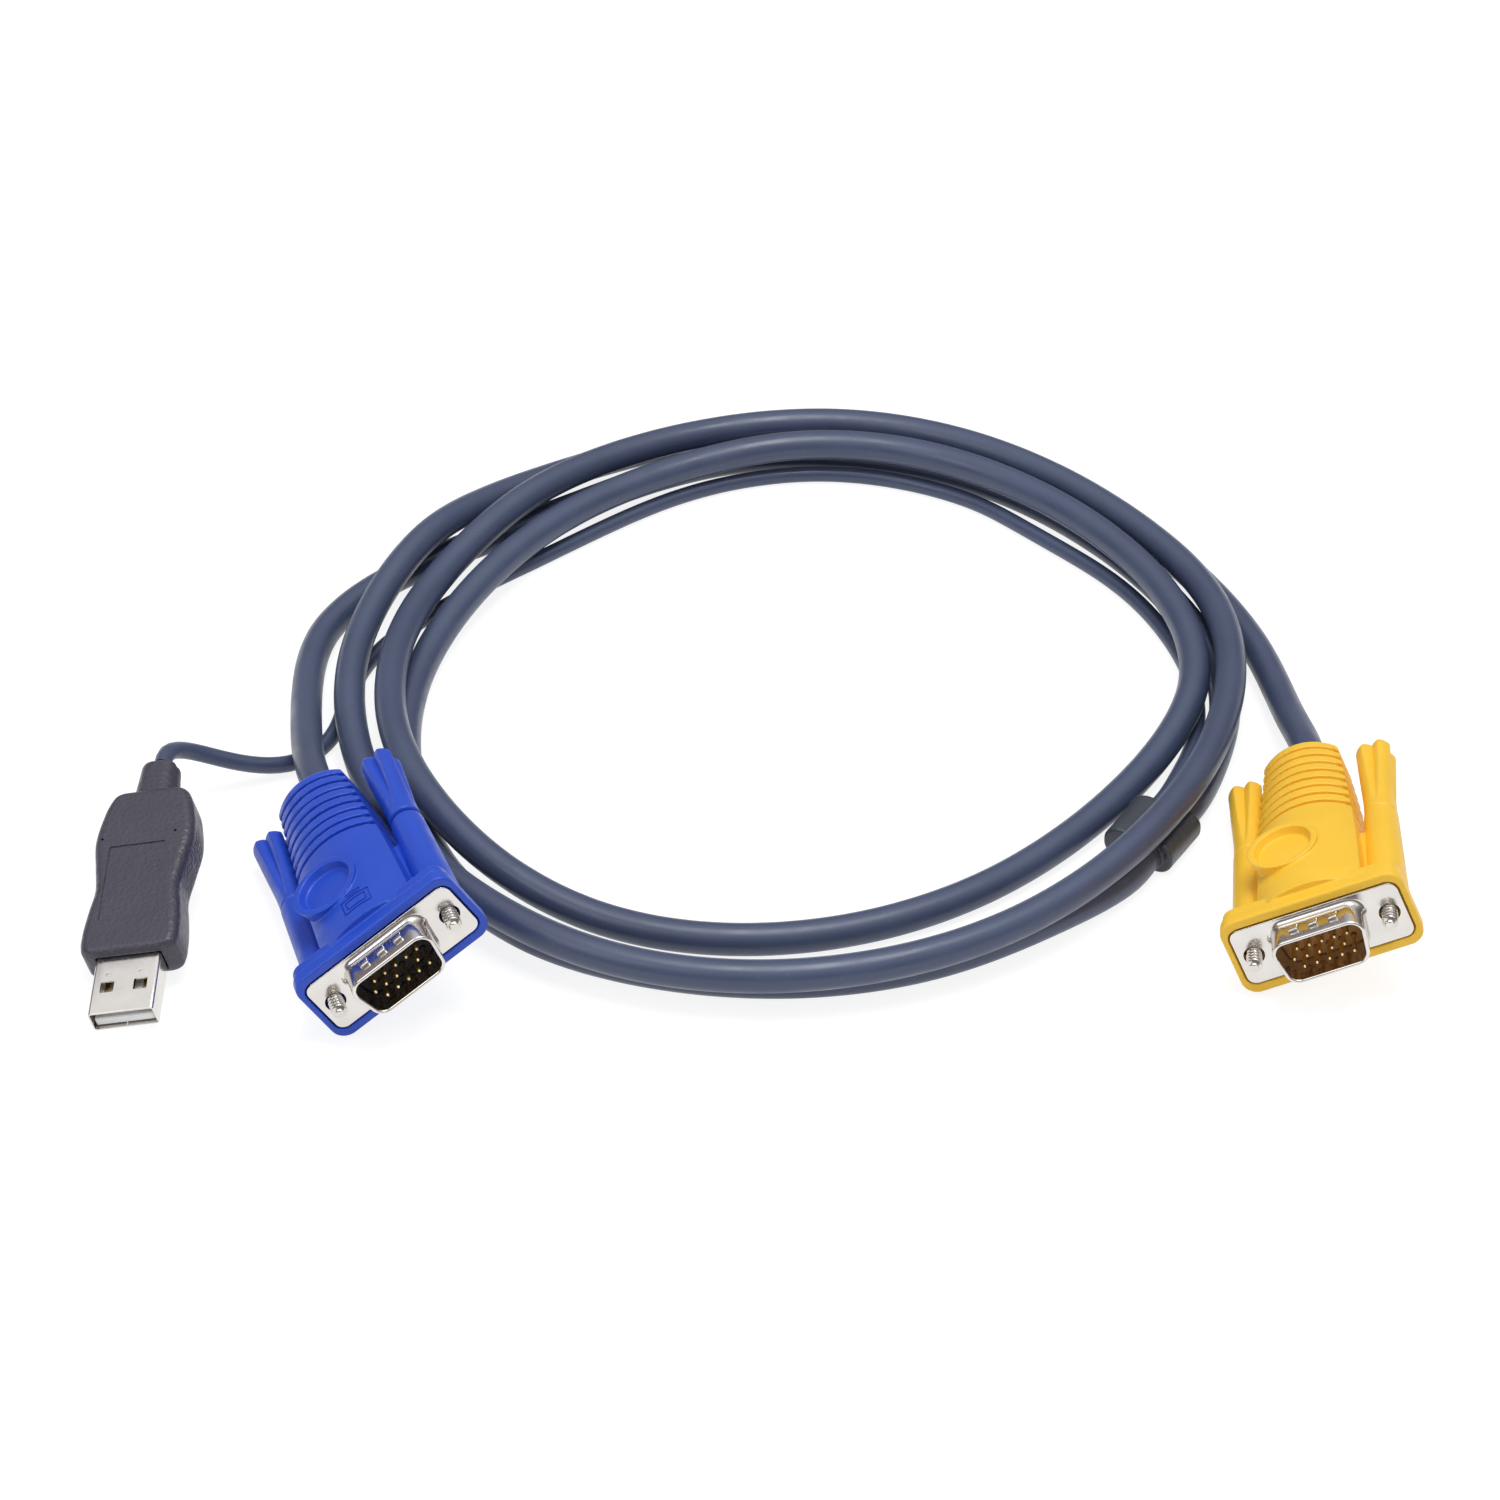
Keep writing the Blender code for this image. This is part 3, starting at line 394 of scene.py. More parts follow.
def plated(name, colour, roughness, streak=(1.0, 1.0, 14.0), stain=0.12):
    """Plated steel: drawn streaks, faint stains and a few fine scratches."""
    material, tree, shader, place = start_material(name)
    shader.inputs["Metallic"].default_value = 1.0
    drawn = add_node(tree, "Mapping", {"Vector": place, "Scale": streak}).outputs["Vector"]
    lines = noise(tree, drawn, 900.0, 4.0, 0.7)
    cloud = noise(tree, place, 160.0, 3.0, 0.5)
    scratch = add_node(tree, "TexVoronoi", {"Vector": drawn, "Scale": 260.0}, feature="DISTANCE_TO_EDGE")
    tone = blend(tree, spread(tree, cloud, 0.0, 1.0), shade(colour, 1 - stain), shade(colour, 1.04))
    tree.links.new(tone, shader.inputs["Base Color"])
    dull = spread(tree, lines, roughness - 0.05, roughness + 0.09)
    mark = {"Value": scratch.outputs["Distance"], "From Max": 0.03, "To Min": 0.08, "To Max": 0.0}
    marked = add_node(tree, "MapRange", mark)
    total = add_node(tree, "Math", operation="ADD")
    tree.links.new(dull, total.inputs[0])
    tree.links.new(marked.outputs["Result"], total.inputs[1])
    tree.links.new(total.outputs["Value"], shader.inputs["Roughness"])
    relief = add_node(tree, "Bump", {"Height": lines, "Distance": 0.000002})
    tree.links.new(relief.outputs["Normal"], shader.inputs["Normal"])
    return material


def jacket(name, colour, roughness):
    """A vinyl cord jacket: satin, with long faint ripples from the wires inside and fine orange peel."""
    material, tree, shader, place = start_material(name)
    cloud = noise(tree, place, 30.0, 5.0, 0.6)
    peel = noise(tree, place, 1500.0, 3.0)
    ripple = noise(tree, place, 160.0, 2.0)
    dust = noise(tree, place, 2400.0, 1.0)
    tone = blend(tree, spread(tree, cloud, 0.0, 1.0), shade(colour, 0.93), shade(colour, 1.08))
    tone = blend(tree, spread(tree, dust, 0.0, 0.5, 0.70, 0.78), tone, shade(colour, 2.2))
    tree.links.new(tone, shader.inputs["Base Color"])
    gloss = spread(tree, noise(tree, place, 120.0, 4.0), roughness - 0.06, roughness + 0.09)
    tree.links.new(gloss, shader.inputs["Roughness"])
    long = add_node(tree, "Bump", {"Height": ripple, "Distance": 0.00004})
    fine = add_node(tree, "Bump", {"Height": peel, "Distance": 0.000004, "Normal": long.outputs["Normal"]})
    tree.links.new(fine.outputs["Normal"], shader.inputs["Normal"])
    return material


MATERIALS = {
    "yellow_plastic": moulded("yellow_vinyl", (0.98, 0.580, 0.040), 0.40, variation=0.03),
    "blue_plastic": moulded("blue_vinyl", (0.017, 0.075, 0.56), 0.38, variation=0.04),
    "charcoal_plastic": moulded("charcoal_vinyl", (0.056, 0.051, 0.072), 0.36, 1700.0, 0.00008, 0.08),
    "dark_grey_plastic": moulded("dark_grey_vinyl", (0.042, 0.050, 0.066), 0.36, 1700.0, 0.00005),
    # The amber core's colour is lightened about twofold: painted light that makes up for the shade the shell
    # casts into the D
    "amber_insulator": moulded("amber_moulding", (0.44, 0.215, 0.062), 0.52, 900.0, 0.000001, 0.01),
    "black_insulator": moulded("black_moulding", (0.012, 0.012, 0.019), 0.52, 900.0, 0.000001, 0.01),
    "white_tongue": moulded("white_nylon", (0.90, 0.90, 0.88), 0.45, variation=0.02),
    "nickel": plated("nickel_plate", (0.72, 0.69, 0.66), 0.15, stain=0.04),
    "jackscrew_steel": plated("jackscrew_plate", (0.74, 0.71, 0.66), 0.17),
    "gold_contact": plated("gold_flash", (0.86, 0.66, 0.34), 0.24),
    "slate_blue_cord": jacket("slate_blue_jacket", (0.060, 0.078, 0.142), 0.34),
}


def local_frame(place, tilt_degrees):
    """The plug's frame: turned by roll first, then pitch, then yaw."""
    pitch, roll, yaw = (math.radians(angle) for angle in tilt_degrees)
    return Matrix.Translation(place) @ Euler((pitch, roll, yaw), "YXZ").to_matrix().to_4x4()


def piece(name, mesh, slot, place, body, *nodes):
    """A finished mesh, moved from its plug's frame to the part's, as a piece that stands for CAD nodes."""
    obj = bpy.data.objects.new(name, mesh)
    bpy.context.scene.collection.objects.link(obj)
    mesh.transform(place)
    mesh.materials.clear()
    mesh.materials.append(MATERIALS[slot])
    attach(obj, body)
    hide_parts(*nodes)


def finish_mesh(bm, name, sharp=35):
    bmesh.ops.recalc_face_normals(bm, faces=bm.faces)
    mesh = bpy.data.meshes.new(name)
    bm.to_mesh(mesh)
    bm.free()
    mesh.shade_smooth()
    mesh.set_sharp_from_angle(angle=math.radians(sharp))
    return mesh


def combined(base, steps, *modifiers):
    """The mesh that is left after these Booleans and modifiers are applied to base."""
    scene = bpy.context.scene.collection
    obj = bpy.data.objects.new("work", base)
    scene.objects.link(obj)
    tools = []
    for operation, mesh in steps:
        tool = bpy.data.objects.new("tool", mesh)
        scene.objects.link(tool)
        tools.append(tool)
        cut = obj.modifiers.new("combine", "BOOLEAN")
        cut.operation = operation
        cut.object = tool
        cut.solver = "EXACT"
    for kind, settings in modifiers:
        modifier = obj.modifiers.new(kind, kind)
        for key, value in settings.items():
            setattr(modifier, key, value)
    evaluated = obj.evaluated_get(bpy.context.evaluated_depsgraph_get())
    mesh = bpy.data.meshes.new_from_object(evaluated)
    for other in [obj, *tools]:
        bpy.data.objects.remove(other, do_unlink=True)
    return mesh


def softened(base, steps, voxel=VOXEL, kept=KEPT_SHARE):
    """As combined, and remeshed and smoothed, so that every edge is as round as a moulded one."""
    remesh = ("REMESH", {"mode": "VOXEL", "voxel_size": voxel, "use_smooth_shade": True})
    smooth = ("SMOOTH", {"factor": 0.5, "iterations": SOFTENING})
    fewer = ("DECIMATE", {"decimate_type": "COLLAPSE", "ratio": kept})
    mesh = combined(base, steps, remesh, smooth, fewer)
    mesh.shade_smooth()
    return mesh


def along_y(radius, start, end, segments=64, end_radius=None, x=0.0, z=0.0):
    bm = bmesh.new()
    bmesh.ops.create_cone(
        bm,
        cap_ends=True,
        segments=segments,
        radius1=radius,
        radius2=radius if end_radius is None else end_radius,
        depth=end - start,
        matrix=Matrix.Translation((x, (start + end) / 2, z)) @ Matrix.Rotation(math.radians(-90), 4, "X"),
    )
    return bm


def along_z(foot_radius, top_radius, start, end, x, y, segments=96):
    bm = bmesh.new()
    bmesh.ops.create_cone(
        bm,
        cap_ends=True,
        segments=segments,
        radius1=foot_radius,
        radius2=top_radius,
        depth=end - start,
        matrix=Matrix.Translation((x, y, (start + end) / 2)),
    )
    return bm


def block(size, centre, bevel=0.0, segments=3):
    bm = bmesh.new()
    bmesh.ops.create_cube(bm, size=1.0)
    bmesh.ops.scale(bm, vec=size, verts=bm.verts)
    if bevel:
        bmesh.ops.bevel(bm, geom=bm.edges, offset=bevel, segments=segments, profile=0.5, affect="EDGES")
    bmesh.ops.translate(bm, vec=centre, verts=bm.verts)
    return bm


def rounded_polygon(corners, radius, steps):
    """The outline through these corners, counterclockwise, each turned with an arc of this radius."""
    outline = []
    count = len(corners)
    for index, corner in enumerate(corners):
        corner = Vector(corner)
        before = (Vector(corners[index - 1]) - corner).normalized()
        after = (Vector(corners[(index + 1) % count]) - corner).normalized()
        half = before.angle(after) / 2
        centre = corner + (before + after).normalized() * radius / math.sin(half)
        first = corner + before * radius / math.tan(half) - centre
        last = corner + after * radius / math.tan(half) - centre
        start = math.atan2(first.y, first.x)
        sweep = (math.atan2(last.y, last.x) - start) % (2 * math.pi)
        for step in range(steps + 1):
            angle = start + sweep * step / steps
            outline.append((centre.x + radius * math.cos(angle), centre.y + radius * math.sin(angle)))
    return outline


def rounded_rectangle(width, height, radius, steps=10):
    right, top = width / 2, height / 2
    return rounded_polygon([(-right, -top), (right, -top), (right, top), (-right, top)], radius, steps)


def d_outline(inset, steps=10):
    """The D: wide above, narrow below, drawn in by inset on every side."""
    half_height = D_HEIGHT / 2 - inset
    side = inset / math.cos(D_SLANT)
    top = D_WIDTH / 2 - side + (half_height - D_HEIGHT / 2) * math.tan(D_SLANT)
    bottom = top - 2 * half_height * math.tan(D_SLANT)
    corners = [(-bottom, -half_height), (bottom, -half_height), (top, half_height), (-top, half_height)]
    return rounded_polygon(corners, D_CORNER - inset, steps)


def loft(rings, closed=False):
    """A skin through rings of points: capped at both ends, or closed round to its first ring."""
    bm = bmesh.new()
    rows = [[bm.verts.new(point) for point in ring] for ring in rings]
    count = len(rows[0])
    pairs = list(zip(rows, rows[1:]))
    if closed:
        pairs.append((rows[-1], rows[0]))
    for lower, upper in pairs:
        for index in range(count):
            after = (index + 1) % count
            bm.faces.new((lower[index], lower[after], upper[after], upper[index]))
    if not closed:
        bm.faces.new(rows[0])
        bm.faces.new(rows[-1])
    return bm


def ring(radius, y, count, x=0.0, z=0.0, shift=0.0):
    """A round ring of points about a line along y."""
    turn = [2 * math.pi * (step + shift) / count for step in range(count)]
    return [(x + radius * math.cos(a), y, z + radius * math.sin(a)) for a in turn]


def prism(outline, start, end):
    return loft([[(x, y, z) for x, z in outline] for y in (start, end)])


def rounded_prism(outline_at, start, end, edge, steps=4):
    """A prism whose front and rear edges are rounded. outline_at gives the outline for an inset."""
    stations = []
    for step in range(steps + 1):
        angle = math.pi / 2 * step / steps
        stations.append((start + edge * (1 - math.sin(angle)), edge * (1 - math.cos(angle))))
    stations = stations[::-1] + [(end - y + start, inset) for y, inset in stations]
    return loft([[(x, y, z) for x, z in outline_at(inset)] for y, inset in stations])


def screw_places():
    return {"left": -SCREW_SPACING / 2, "right": SCREW_SPACING / 2}


def joined(meshes, name):
    """Several bmeshes as one mesh."""
    bm = bmesh.new()
    for other in meshes:
        part = bpy.data.meshes.new("part_of_group")
        other.to_mesh(part)
        other.free()
        bm.from_mesh(part)
        bpy.data.meshes.remove(part)
    return finish_mesh(bm, name)


def eased(start, end, share):
    return start + (end - start) * share


def crowned_outline(half_width, crown, shoulder, middle, cut):
    """Crowned above and below, with upright sides and rounded shoulders, drawn in by cut all round."""
    radius = (half_width**2 + (crown - shoulder) ** 2) / (2 * (crown - shoulder))
    half = []
    for step in range(33):
        x = half_width * (1 - step / 16)
        half.append((x, crown - radius + math.sqrt(radius**2 - x**2)))
    drops = [0.0, 0.3, 0.6, 0.85]
    half = [(half_width, shoulder * share) for share in drops] + half
    half += [(-half_width, shoulder * share) for share in reversed(drops)]
    outline = half + [(-x, -z) for x, z in half[1:-1]]
    return [(x * (1 - cut / half_width) + middle, z * (1 - cut / crown)) for x, z in outline]


def hood_share(y):
    return min(max((y - LIP_DEPTH) / (HOOD_LENGTH - LIP_DEPTH), 0.0), 1.0)


def hood_section(y, cut=0.0, inset=0.0):
    """The hood's body at y: it narrows and thins from the flange to the cord, and leans a little."""
    share = hood_share(y)
    ease = share**TAPER_POWER
    outline = crowned_outline(
        eased(BODY_FRONT_HALF_WIDTH, BODY_REAR_HALF_WIDTH, ease) - inset,
        eased(BODY_FRONT_CROWN, BODY_REAR_CROWN, ease) - inset,
        eased(BODY_FRONT_SHOULDER, BODY_REAR_SHOULDER, ease) - inset,
        BODY_REAR_SHIFT * share**LEAN_POWER,
        cut,
    )
    return [(x, y, z) for x, z in outline]


def groove_starts():
    last = HOOD_LENGTH - RIB_REAR_LAND - GROOVE_WIDTH
    return [last - rib * RIB_PITCH for rib in reversed(range(RIB_COUNT))]


def hood_body():
    """The crowned body with its rows of grooves, from inside the flange to its rounded rear end."""
    rings = [hood_section(y) for y in np.linspace(LIP_DEPTH, DISH_Y + 0.01, 12)]
    for start in groove_starts():
        for along, cut in ((0.0, 0.0), (0.04, 0.7), (0.2, 1.0), (0.8, 1.0), (0.96, 0.7), (1.0, 0.0)):
            rings.append(hood_section(start + GROOVE_WIDTH * along, cut * GROOVE_DEPTH))
    for step in range(5):
        angle = math.pi / 2 * step / 4
        inset = REAR_EDGE * (1 - math.cos(angle))
        rings.append(hood_section(HOOD_LENGTH - REAR_EDGE * (1 - math.sin(angle)), 0.0, inset))
    return loft(rings)


def side_notches():
    """The square notches that the grooves open into on both sides of the body."""
    notches = []
    for start in groove_starts():
        middle = start + GROOVE_WIDTH / 2
        share = hood_share(middle)
        half_width = eased(BODY_FRONT_HALF_WIDTH, BODY_REAR_HALF_WIDTH, share**TAPER_POWER)
        shoulder = eased(BODY_FRONT_SHOULDER, BODY_REAR_SHOULDER, share**TAPER_POWER)
        for side in (-1, 1):
            x = side * half_width + BODY_REAR_SHIFT * share**LEAN_POWER
            size = (2 * NOTCH_DEPTH, NOTCH_WIDTH, 2 * shoulder + 0.0016)
            notches.append(block(size, (x, middle, 0.0)))
    return notches


def dish_hollow():
    """The thumb dish's hollow: a steep wall and a slightly domed floor."""
    hollow = DISH_RADIUS - DISH_RIM
    floor = DISH_TOP - DISH_DEPTH
    profile = [(hollow + 0.0004, DISH_TOP + 0.002), (hollow, DISH_TOP), (DISH_FLOOR_RADIUS, floor)]
    for step in range(1, 8):
        share = step / 8
        profile.append((DISH_FLOOR_RADIUS * (1 - share), floor + DISH_DOME * (1 - (1 - share) ** 2)))
    rings = []
    for radius, z in profile:
        turn = [2 * math.pi * step / 72 for step in range(72)]
        rings.append([(DISH_X + radius * math.cos(a), DISH_Y + radius * math.sin(a), z) for a in turn])
    return loft(rings)


def build_hood(prefix, place, mark):
    def flange_at(shrink):
        width, height, corner = FLANGE_WIDTH - 2 * shrink, FLANGE_HEIGHT - 2 * shrink, FLANGE_CORNER - shrink
        return lambda inset: rounded_rectangle(width - 2 * inset, height - 2 * inset, corner - inset)

    additions = [
        rounded_prism(flange_at(0.0), 0.0, LIP_DEPTH, 0.0004),
        prism(flange_at(FLANGE_STEP + LIP_LINE)(0.0), LIP_DEPTH / 2, LIP_DEPTH + 2 * LIP_LINE),
        rounded_prism(flange_at(FLANGE_STEP), LIP_DEPTH + LIP_LINE, FLANGE_DEPTH, 0.0003),
        along_z(DISH_FOOT_RADIUS, DISH_RADIUS, 0.0, DISH_TOP, DISH_X, DISH_Y),
    ]
    for x in screw_places().values():
        additions.append(along_y(SLEEVE_FRONT_RADIUS, LIP_DEPTH, SLEEVE_END, 64, SLEEVE_REAR_RADIUS, x=x))
        inner = math.copysign(BODY_REAR_HALF_WIDTH, x)
        web = (abs(x - inner), WEB_END - LIP_DEPTH, WEB_THICKNESS)
        additions.append(block(web, ((x + inner) / 2, (WEB_END + LIP_DEPTH) / 2, 0.0)))
    margin = 0.002
    recess = rounded_rectangle(
        PLATE_WIDTH + 2 * RECESS_GAP, PLATE_HEIGHT + 2 * RECESS_GAP, PLATE_CORNER + RECESS_GAP
    )
    cuts = [
        dish_hollow(),
        prism(recess, -margin, PLATE_THICKNESS + RECESS_GAP),
        prism(d_outline(0.0), -margin, CORE_DEPTH),
    ]
    cuts += [along_y(SLEEVE_BORE / 2, -margin, SLEEVE_END + margin, x=x) for x in screw_places().values()]
    steps = [("DIFFERENCE", joined(side_notches(), "notches"))]
    steps += [("UNION", finish_mesh(bm, "addition")) for bm in additions]
    steps += [("DIFFERENCE", finish_mesh(bm, "cut")) for bm in cuts]
    mesh = softened(finish_mesh(hood_body(), prefix + "_hood"), steps)
    if mark:
        mesh = combined(mesh, [("DIFFERENCE", screen_mark())])
        mesh.set_sharp_from_angle(angle=math.radians(50))
    piece(prefix + "_hood_moulding", mesh, prefix + "_plastic", place, "cable", prefix + "_hood")


def crown_height(x):
    """How high the body's top stands near its front, at x."""
    drop = BODY_FRONT_CROWN - BODY_FRONT_SHOULDER
    radius = (BODY_FRONT_HALF_WIDTH**2 + drop**2) / (2 * drop)
    return BODY_FRONT_CROWN - radius + math.sqrt(radius**2 - x**2)


def engraved_frame(middle, width, depth, line):
    """A groove's cutter round a rectangle, following the crowned top."""
    corners = [(-1, -1), (1, -1), (1, 1), (-1, 1)]
    rings = []
    for index, start in enumerate(corners):
        end = corners[(index + 1) % 4]
        for step in range(10):
            share = step / 10
            across, along = eased(start[0], end[0], share), eased(start[1], end[1], share)
            row = []
            low, high = -0.0003, 0.0009
            for reach, lift in ((line / 2, low), (line / 2, high), (-line / 2, high), (-line / 2, low)):
                x = middle[0] + across * (width / 2 + reach)
                y = middle[1] + along * (depth / 2 + reach)
                row.append((x, y, crown_height(x) + lift))
            rings.append(row)
    return loft(rings, closed=True)


def screen_mark():
    """The engraved outline of a screen with its stand, as one cutter of separate closed bodies."""
    x, y = SCREEN_PLACE
    frames = [
        engraved_frame((x, y), 0.0054, 0.0036, SCREEN_LINE),
        engraved_frame((x, y), 0.0038, 0.0020, SCREEN_LINE),
        engraved_frame((x, y + 0.0027), 0.0026, 0.0007, SCREEN_LINE),
    ]
    return joined(frames, "screen_mark")


def build_shell(prefix, place):
    """The face plate and the D drawn out of it: a flared root, an upright skirt and a rolled rim."""
    rim = D_WALL / 2
    path = []
    for step in range(9):
        angle = math.pi / 2 * step / 8
        path.append((-D_ROOT * (1 - math.sin(angle)), -D_ROOT * (1 - math.cos(angle))))
    for step in range(9):
        angle = math.pi * step / 8
        path.append((rim * (1 - math.cos(angle)), -D_REACH + rim - rim * math.sin(angle)))
    path += [(D_WALL, -D_ROOT), (D_WALL, PLATE_THICKNESS), (-D_ROOT, PLATE_THICKNESS)]
    skirt = loft([[(x, y, z) for x, z in d_outline(inset, 12)] for inset, y in path], closed=True)

    def plate_at(inset):
        return rounded_rectangle(PLATE_WIDTH - 2 * inset, PLATE_HEIGHT - 2 * inset, PLATE_CORNER - inset)

    plate = rounded_prism(plate_at, 0.0, PLATE_THICKNESS, 0.00015, 3)
    steps = [("DIFFERENCE", finish_mesh(prism(d_outline(-D_ROOT / 2, 12), -0.001, 0.002), "mouth"))]
    steps += [
        ("DIFFERENCE", finish_mesh(along_y(PLATE_HOLE / 2, -0.002, 0.002, x=x), "hole"))
        for x in screw_places().values()
    ]
    steps.append(("UNION", finish_mesh(skirt, "skirt")))
    for index in range(3):
        size = (DIMPLE_SIZE, DIMPLE_SIZE, 2 * DIMPLE_HEIGHT)
        centre = ((index - 1) * DIMPLE_PITCH, -D_REACH / 2, D_HEIGHT / 2)
        steps.append(("UNION", finish_mesh(block(size, centre, DIMPLE_HEIGHT * 0.4, 3), "dimple")))
    mesh = combined(finish_mesh(plate, prefix + "_plate"), steps)
    mesh.set_sharp_from_angle(angle=math.radians(32))
    piece(prefix + "_shell_pressing", mesh, "nickel", place, "cable", prefix + "_shell")


def pin_places(missing=()):
    """(number, x, z) of each pin, numbered along the rows from the top left."""
    places = []
    for row in range(3):
        shift = PIN_PITCH / 4 if row != 1 else -PIN_PITCH / 4
        for column in range(PINS_PER_ROW):
            number = row * PINS_PER_ROW + column + 1
            if number not in missing:
                x = (column - (PINS_PER_ROW - 1) / 2) * PIN_PITCH + shift
                places.append((number, x, (1 - row) * ROW_PITCH))
    return places


def build_insulator(prefix, place, pins):
    """The moulded core, with a small funnel round each pin."""

    def outline_at(inset):
        return d_outline(D_WALL + 0.00005 + inset)

    core = rounded_prism(outline_at, -INSULATOR_SETBACK, INSULATOR_DEPTH, 0.00015, 3)
    radius = PIN_DIAMETER / 2 + 0.00003
    funnel = (
        (-0.001, radius + 0.0010),
        (-INSULATOR_SETBACK, radius + 0.00016),
        (0.0, radius),
        (PIN_SEAT + 0.0001, radius),
    )
    holes = []
    for _, x, z in pins:
        holes.append(loft([ring(reach, y, 24, x, z) for y, reach in funnel]))
    mesh = combined(finish_mesh(core, prefix + "_core"), [("DIFFERENCE", joined(holes, "pin_holes"))])
    mesh.set_sharp_from_angle(angle=math.radians(40))
    slot = "amber_insulator" if prefix == "yellow" else "black_insulator"
    piece(prefix + "_insulator_moulding", mesh, slot, place, "cable", prefix + "_insulator")


def build_pins(prefix, place, pins):
    """Round pins with a domed nose."""
    radius = PIN_DIAMETER / 2
    profile = [(-PIN_REACH, 0.25), (-PIN_REACH + 0.00008, 0.5), (-PIN_REACH + 0.00022, 0.76)]
    profile += [(-PIN_REACH + 0.0005, 0.94), (-PIN_REACH + 0.0009, 1.0), (PIN_SEAT, 1.0)]
    meshes = []
    for _, x, z in pins:
        meshes.append(loft([ring(radius * share, y, 20, x, z) for y, share in profile]))
    nodes = [f"{prefix}_pin_{number:02d}" for number, _, _ in pins]
    piece(prefix + "_pins", joined(meshes, prefix + "_pins"), "gold_contact", place, "cable", *nodes)


def build_knob(prefix, side, x, place, gap=0.0):
    """A fluted knob: round at its seam, then flaring, with sharp flutes that deepen towards its end."""
    stations = (
        (0.000, KNOB_SEAM_RADIUS * 0.93, 0.0),
        (0.012, KNOB_SEAM_RADIUS, 0.0),
        (0.08, KNOB_SEAM_RADIUS * 0.98, 0.0),
        (0.22, KNOB_SEAM_RADIUS * 0.98, 0.32),
        (0.45, eased(KNOB_SEAM_RADIUS, KNOB_END_RADIUS, 0.28), 0.62),
        (0.70, eased(KNOB_SEAM_RADIUS, KNOB_END_RADIUS, 0.66), 0.88),
        (0.92, KNOB_END_RADIUS, 1.0),
        (0.960, KNOB_END_RADIUS * 0.98, 1.0),
        (0.985, KNOB_END_RADIUS * 0.91, 1.0),
        (1.000, KNOB_END_RADIUS * 0.78, 0.9),
    )
    along, radii, flutes = (np.array(column) for column in zip(*stations))
    shares = np.concatenate([[0.0, 0.006, 0.012], np.linspace(0.03, 0.92, 44), np.linspace(0.93, 1.0, 12)])
    start = KNOB_START + gap
    length = KNOB_LENGTH - gap
    count = 144
    rings = []
    sector = 2 * math.pi / KNOB_FLUTES
    for share in shares:
        radius = np.interp(share, along, radii)
        flute = np.interp(share, along, flutes)
        half_angle = math.radians(8 + 18 * flute)
        row = []
        for step in range(count):
            angle = 2 * math.pi * (step + 0.5) / count
            away = abs((angle + sector / 2) % sector - sector / 2)
            groove = max(0.0, 1 - away / half_angle)
            reach = radius * (1 - KNOB_FLUTE_DEPTH * flute * groove)
            row.append((reach * math.cos(angle), start + length * share, reach * math.sin(angle)))
        rings.append(row)
    if gap:
        neck = [ring(KNOB_NECK_RADIUS, y, count, shift=0.5) for y in (KNOB_START, start)]
        rings = neck + rings
    name = f"{prefix}_knob_{side}"
    seat_end = KNOB_START + KNOB_SEAT + RECESS_GAP
    seat = along_y(SCREW_DIAMETER / 2 + RECESS_GAP, KNOB_START - 0.001, seat_end, 48)
    mesh = combined(
        finish_mesh(loft(rings), name, 60),
        [("DIFFERENCE", finish_mesh(seat, "seat"))],
        ("SMOOTH", {"factor": 0.5, "iterations": 1}),
    )
    mesh.set_sharp_from_angle(angle=math.radians(38))
    at = place @ Matrix.Translation((x, 0.0, 0.0))
    piece(name + "_moulding", mesh, prefix + "_plastic", at, f"{prefix}_thumbscrew_{side}", name)


def build_jackscrew(prefix, side, x, place):
    """A steel screw with a real helical thread at its tip and a plain shank behind it."""
    radius = SCREW_DIAMETER / 2
    per_turn = 32
    thread_end = -SCREW_TIP + THREAD_LENGTH
    rows = int(THREAD_LENGTH / THREAD_PITCH * 14)
    rings = []
    for number in range(rows + 1):
        y = -SCREW_TIP + THREAD_LENGTH * number / rows
        cone = min(1.0, 0.50 + 0.50 * (y + SCREW_TIP) / SCREW_TAPER)
        fade = min(1.0, (thread_end - y) / THREAD_PITCH)
        row = []
        for step in range(per_turn):
            angle = 2 * math.pi * step / per_turn
            phase = ((y + SCREW_TIP) / THREAD_PITCH - angle / (2 * math.pi)) % 1.0
            flank = min(max((abs(phase - 0.5) - 0.08) / 0.30, 0.0), 1.0)
            reach = radius * cone - THREAD_DEPTH * fade * (1 - flank)
            row.append((reach * math.cos(angle), y, reach * math.sin(angle)))
        rings.append(row)
    for y in (thread_end + 0.0002, KNOB_START + KNOB_SEAT):
        rings.append(ring(radius, y, per_turn))
    name = f"{prefix}_jackscrew_{side}"
    at = place @ Matrix.Translation((x, 0.0, 0.0))
    mesh = finish_mesh(loft(rings), name, 40)
    piece(name + "_threaded", mesh, "jackscrew_steel", at, f"{prefix}_thumbscrew_{side}", name)


def build_d_plug(prefix, place, tilt, missing=(), mark=False):
    at = local_frame(place, tilt)
    pins = pin_places(missing)
    build_hood(prefix, at, mark)
    build_shell(prefix, at)
    build_insulator(prefix, at, pins)
    build_pins(prefix, at, pins)
    for side, x in screw_places().items():
        gap = KNOB_GAP if (prefix, side) == ("blue", "right") else 0.0
        build_knob(prefix, side, x, at, gap)
        build_jackscrew(prefix, side, x, at)


# Half width of the USB housing along its length
USB_SIDES = (
    (0.0000, 0.0066),
    (0.0003, 0.0076),
    (0.0010, 0.0085),
    (0.0022, 0.0089),
    (0.0050, 0.0090),
    (0.0105, 0.0085),
    (0.0150, 0.0079),
    (0.0210, 0.0086),
    (0.0270, 0.0093),
    (0.0320, 0.0087),
    (0.0356, 0.0078),
    (0.0372, 0.0070),
    (0.0380, 0.0062),
    (0.0384, 0.0054),
)


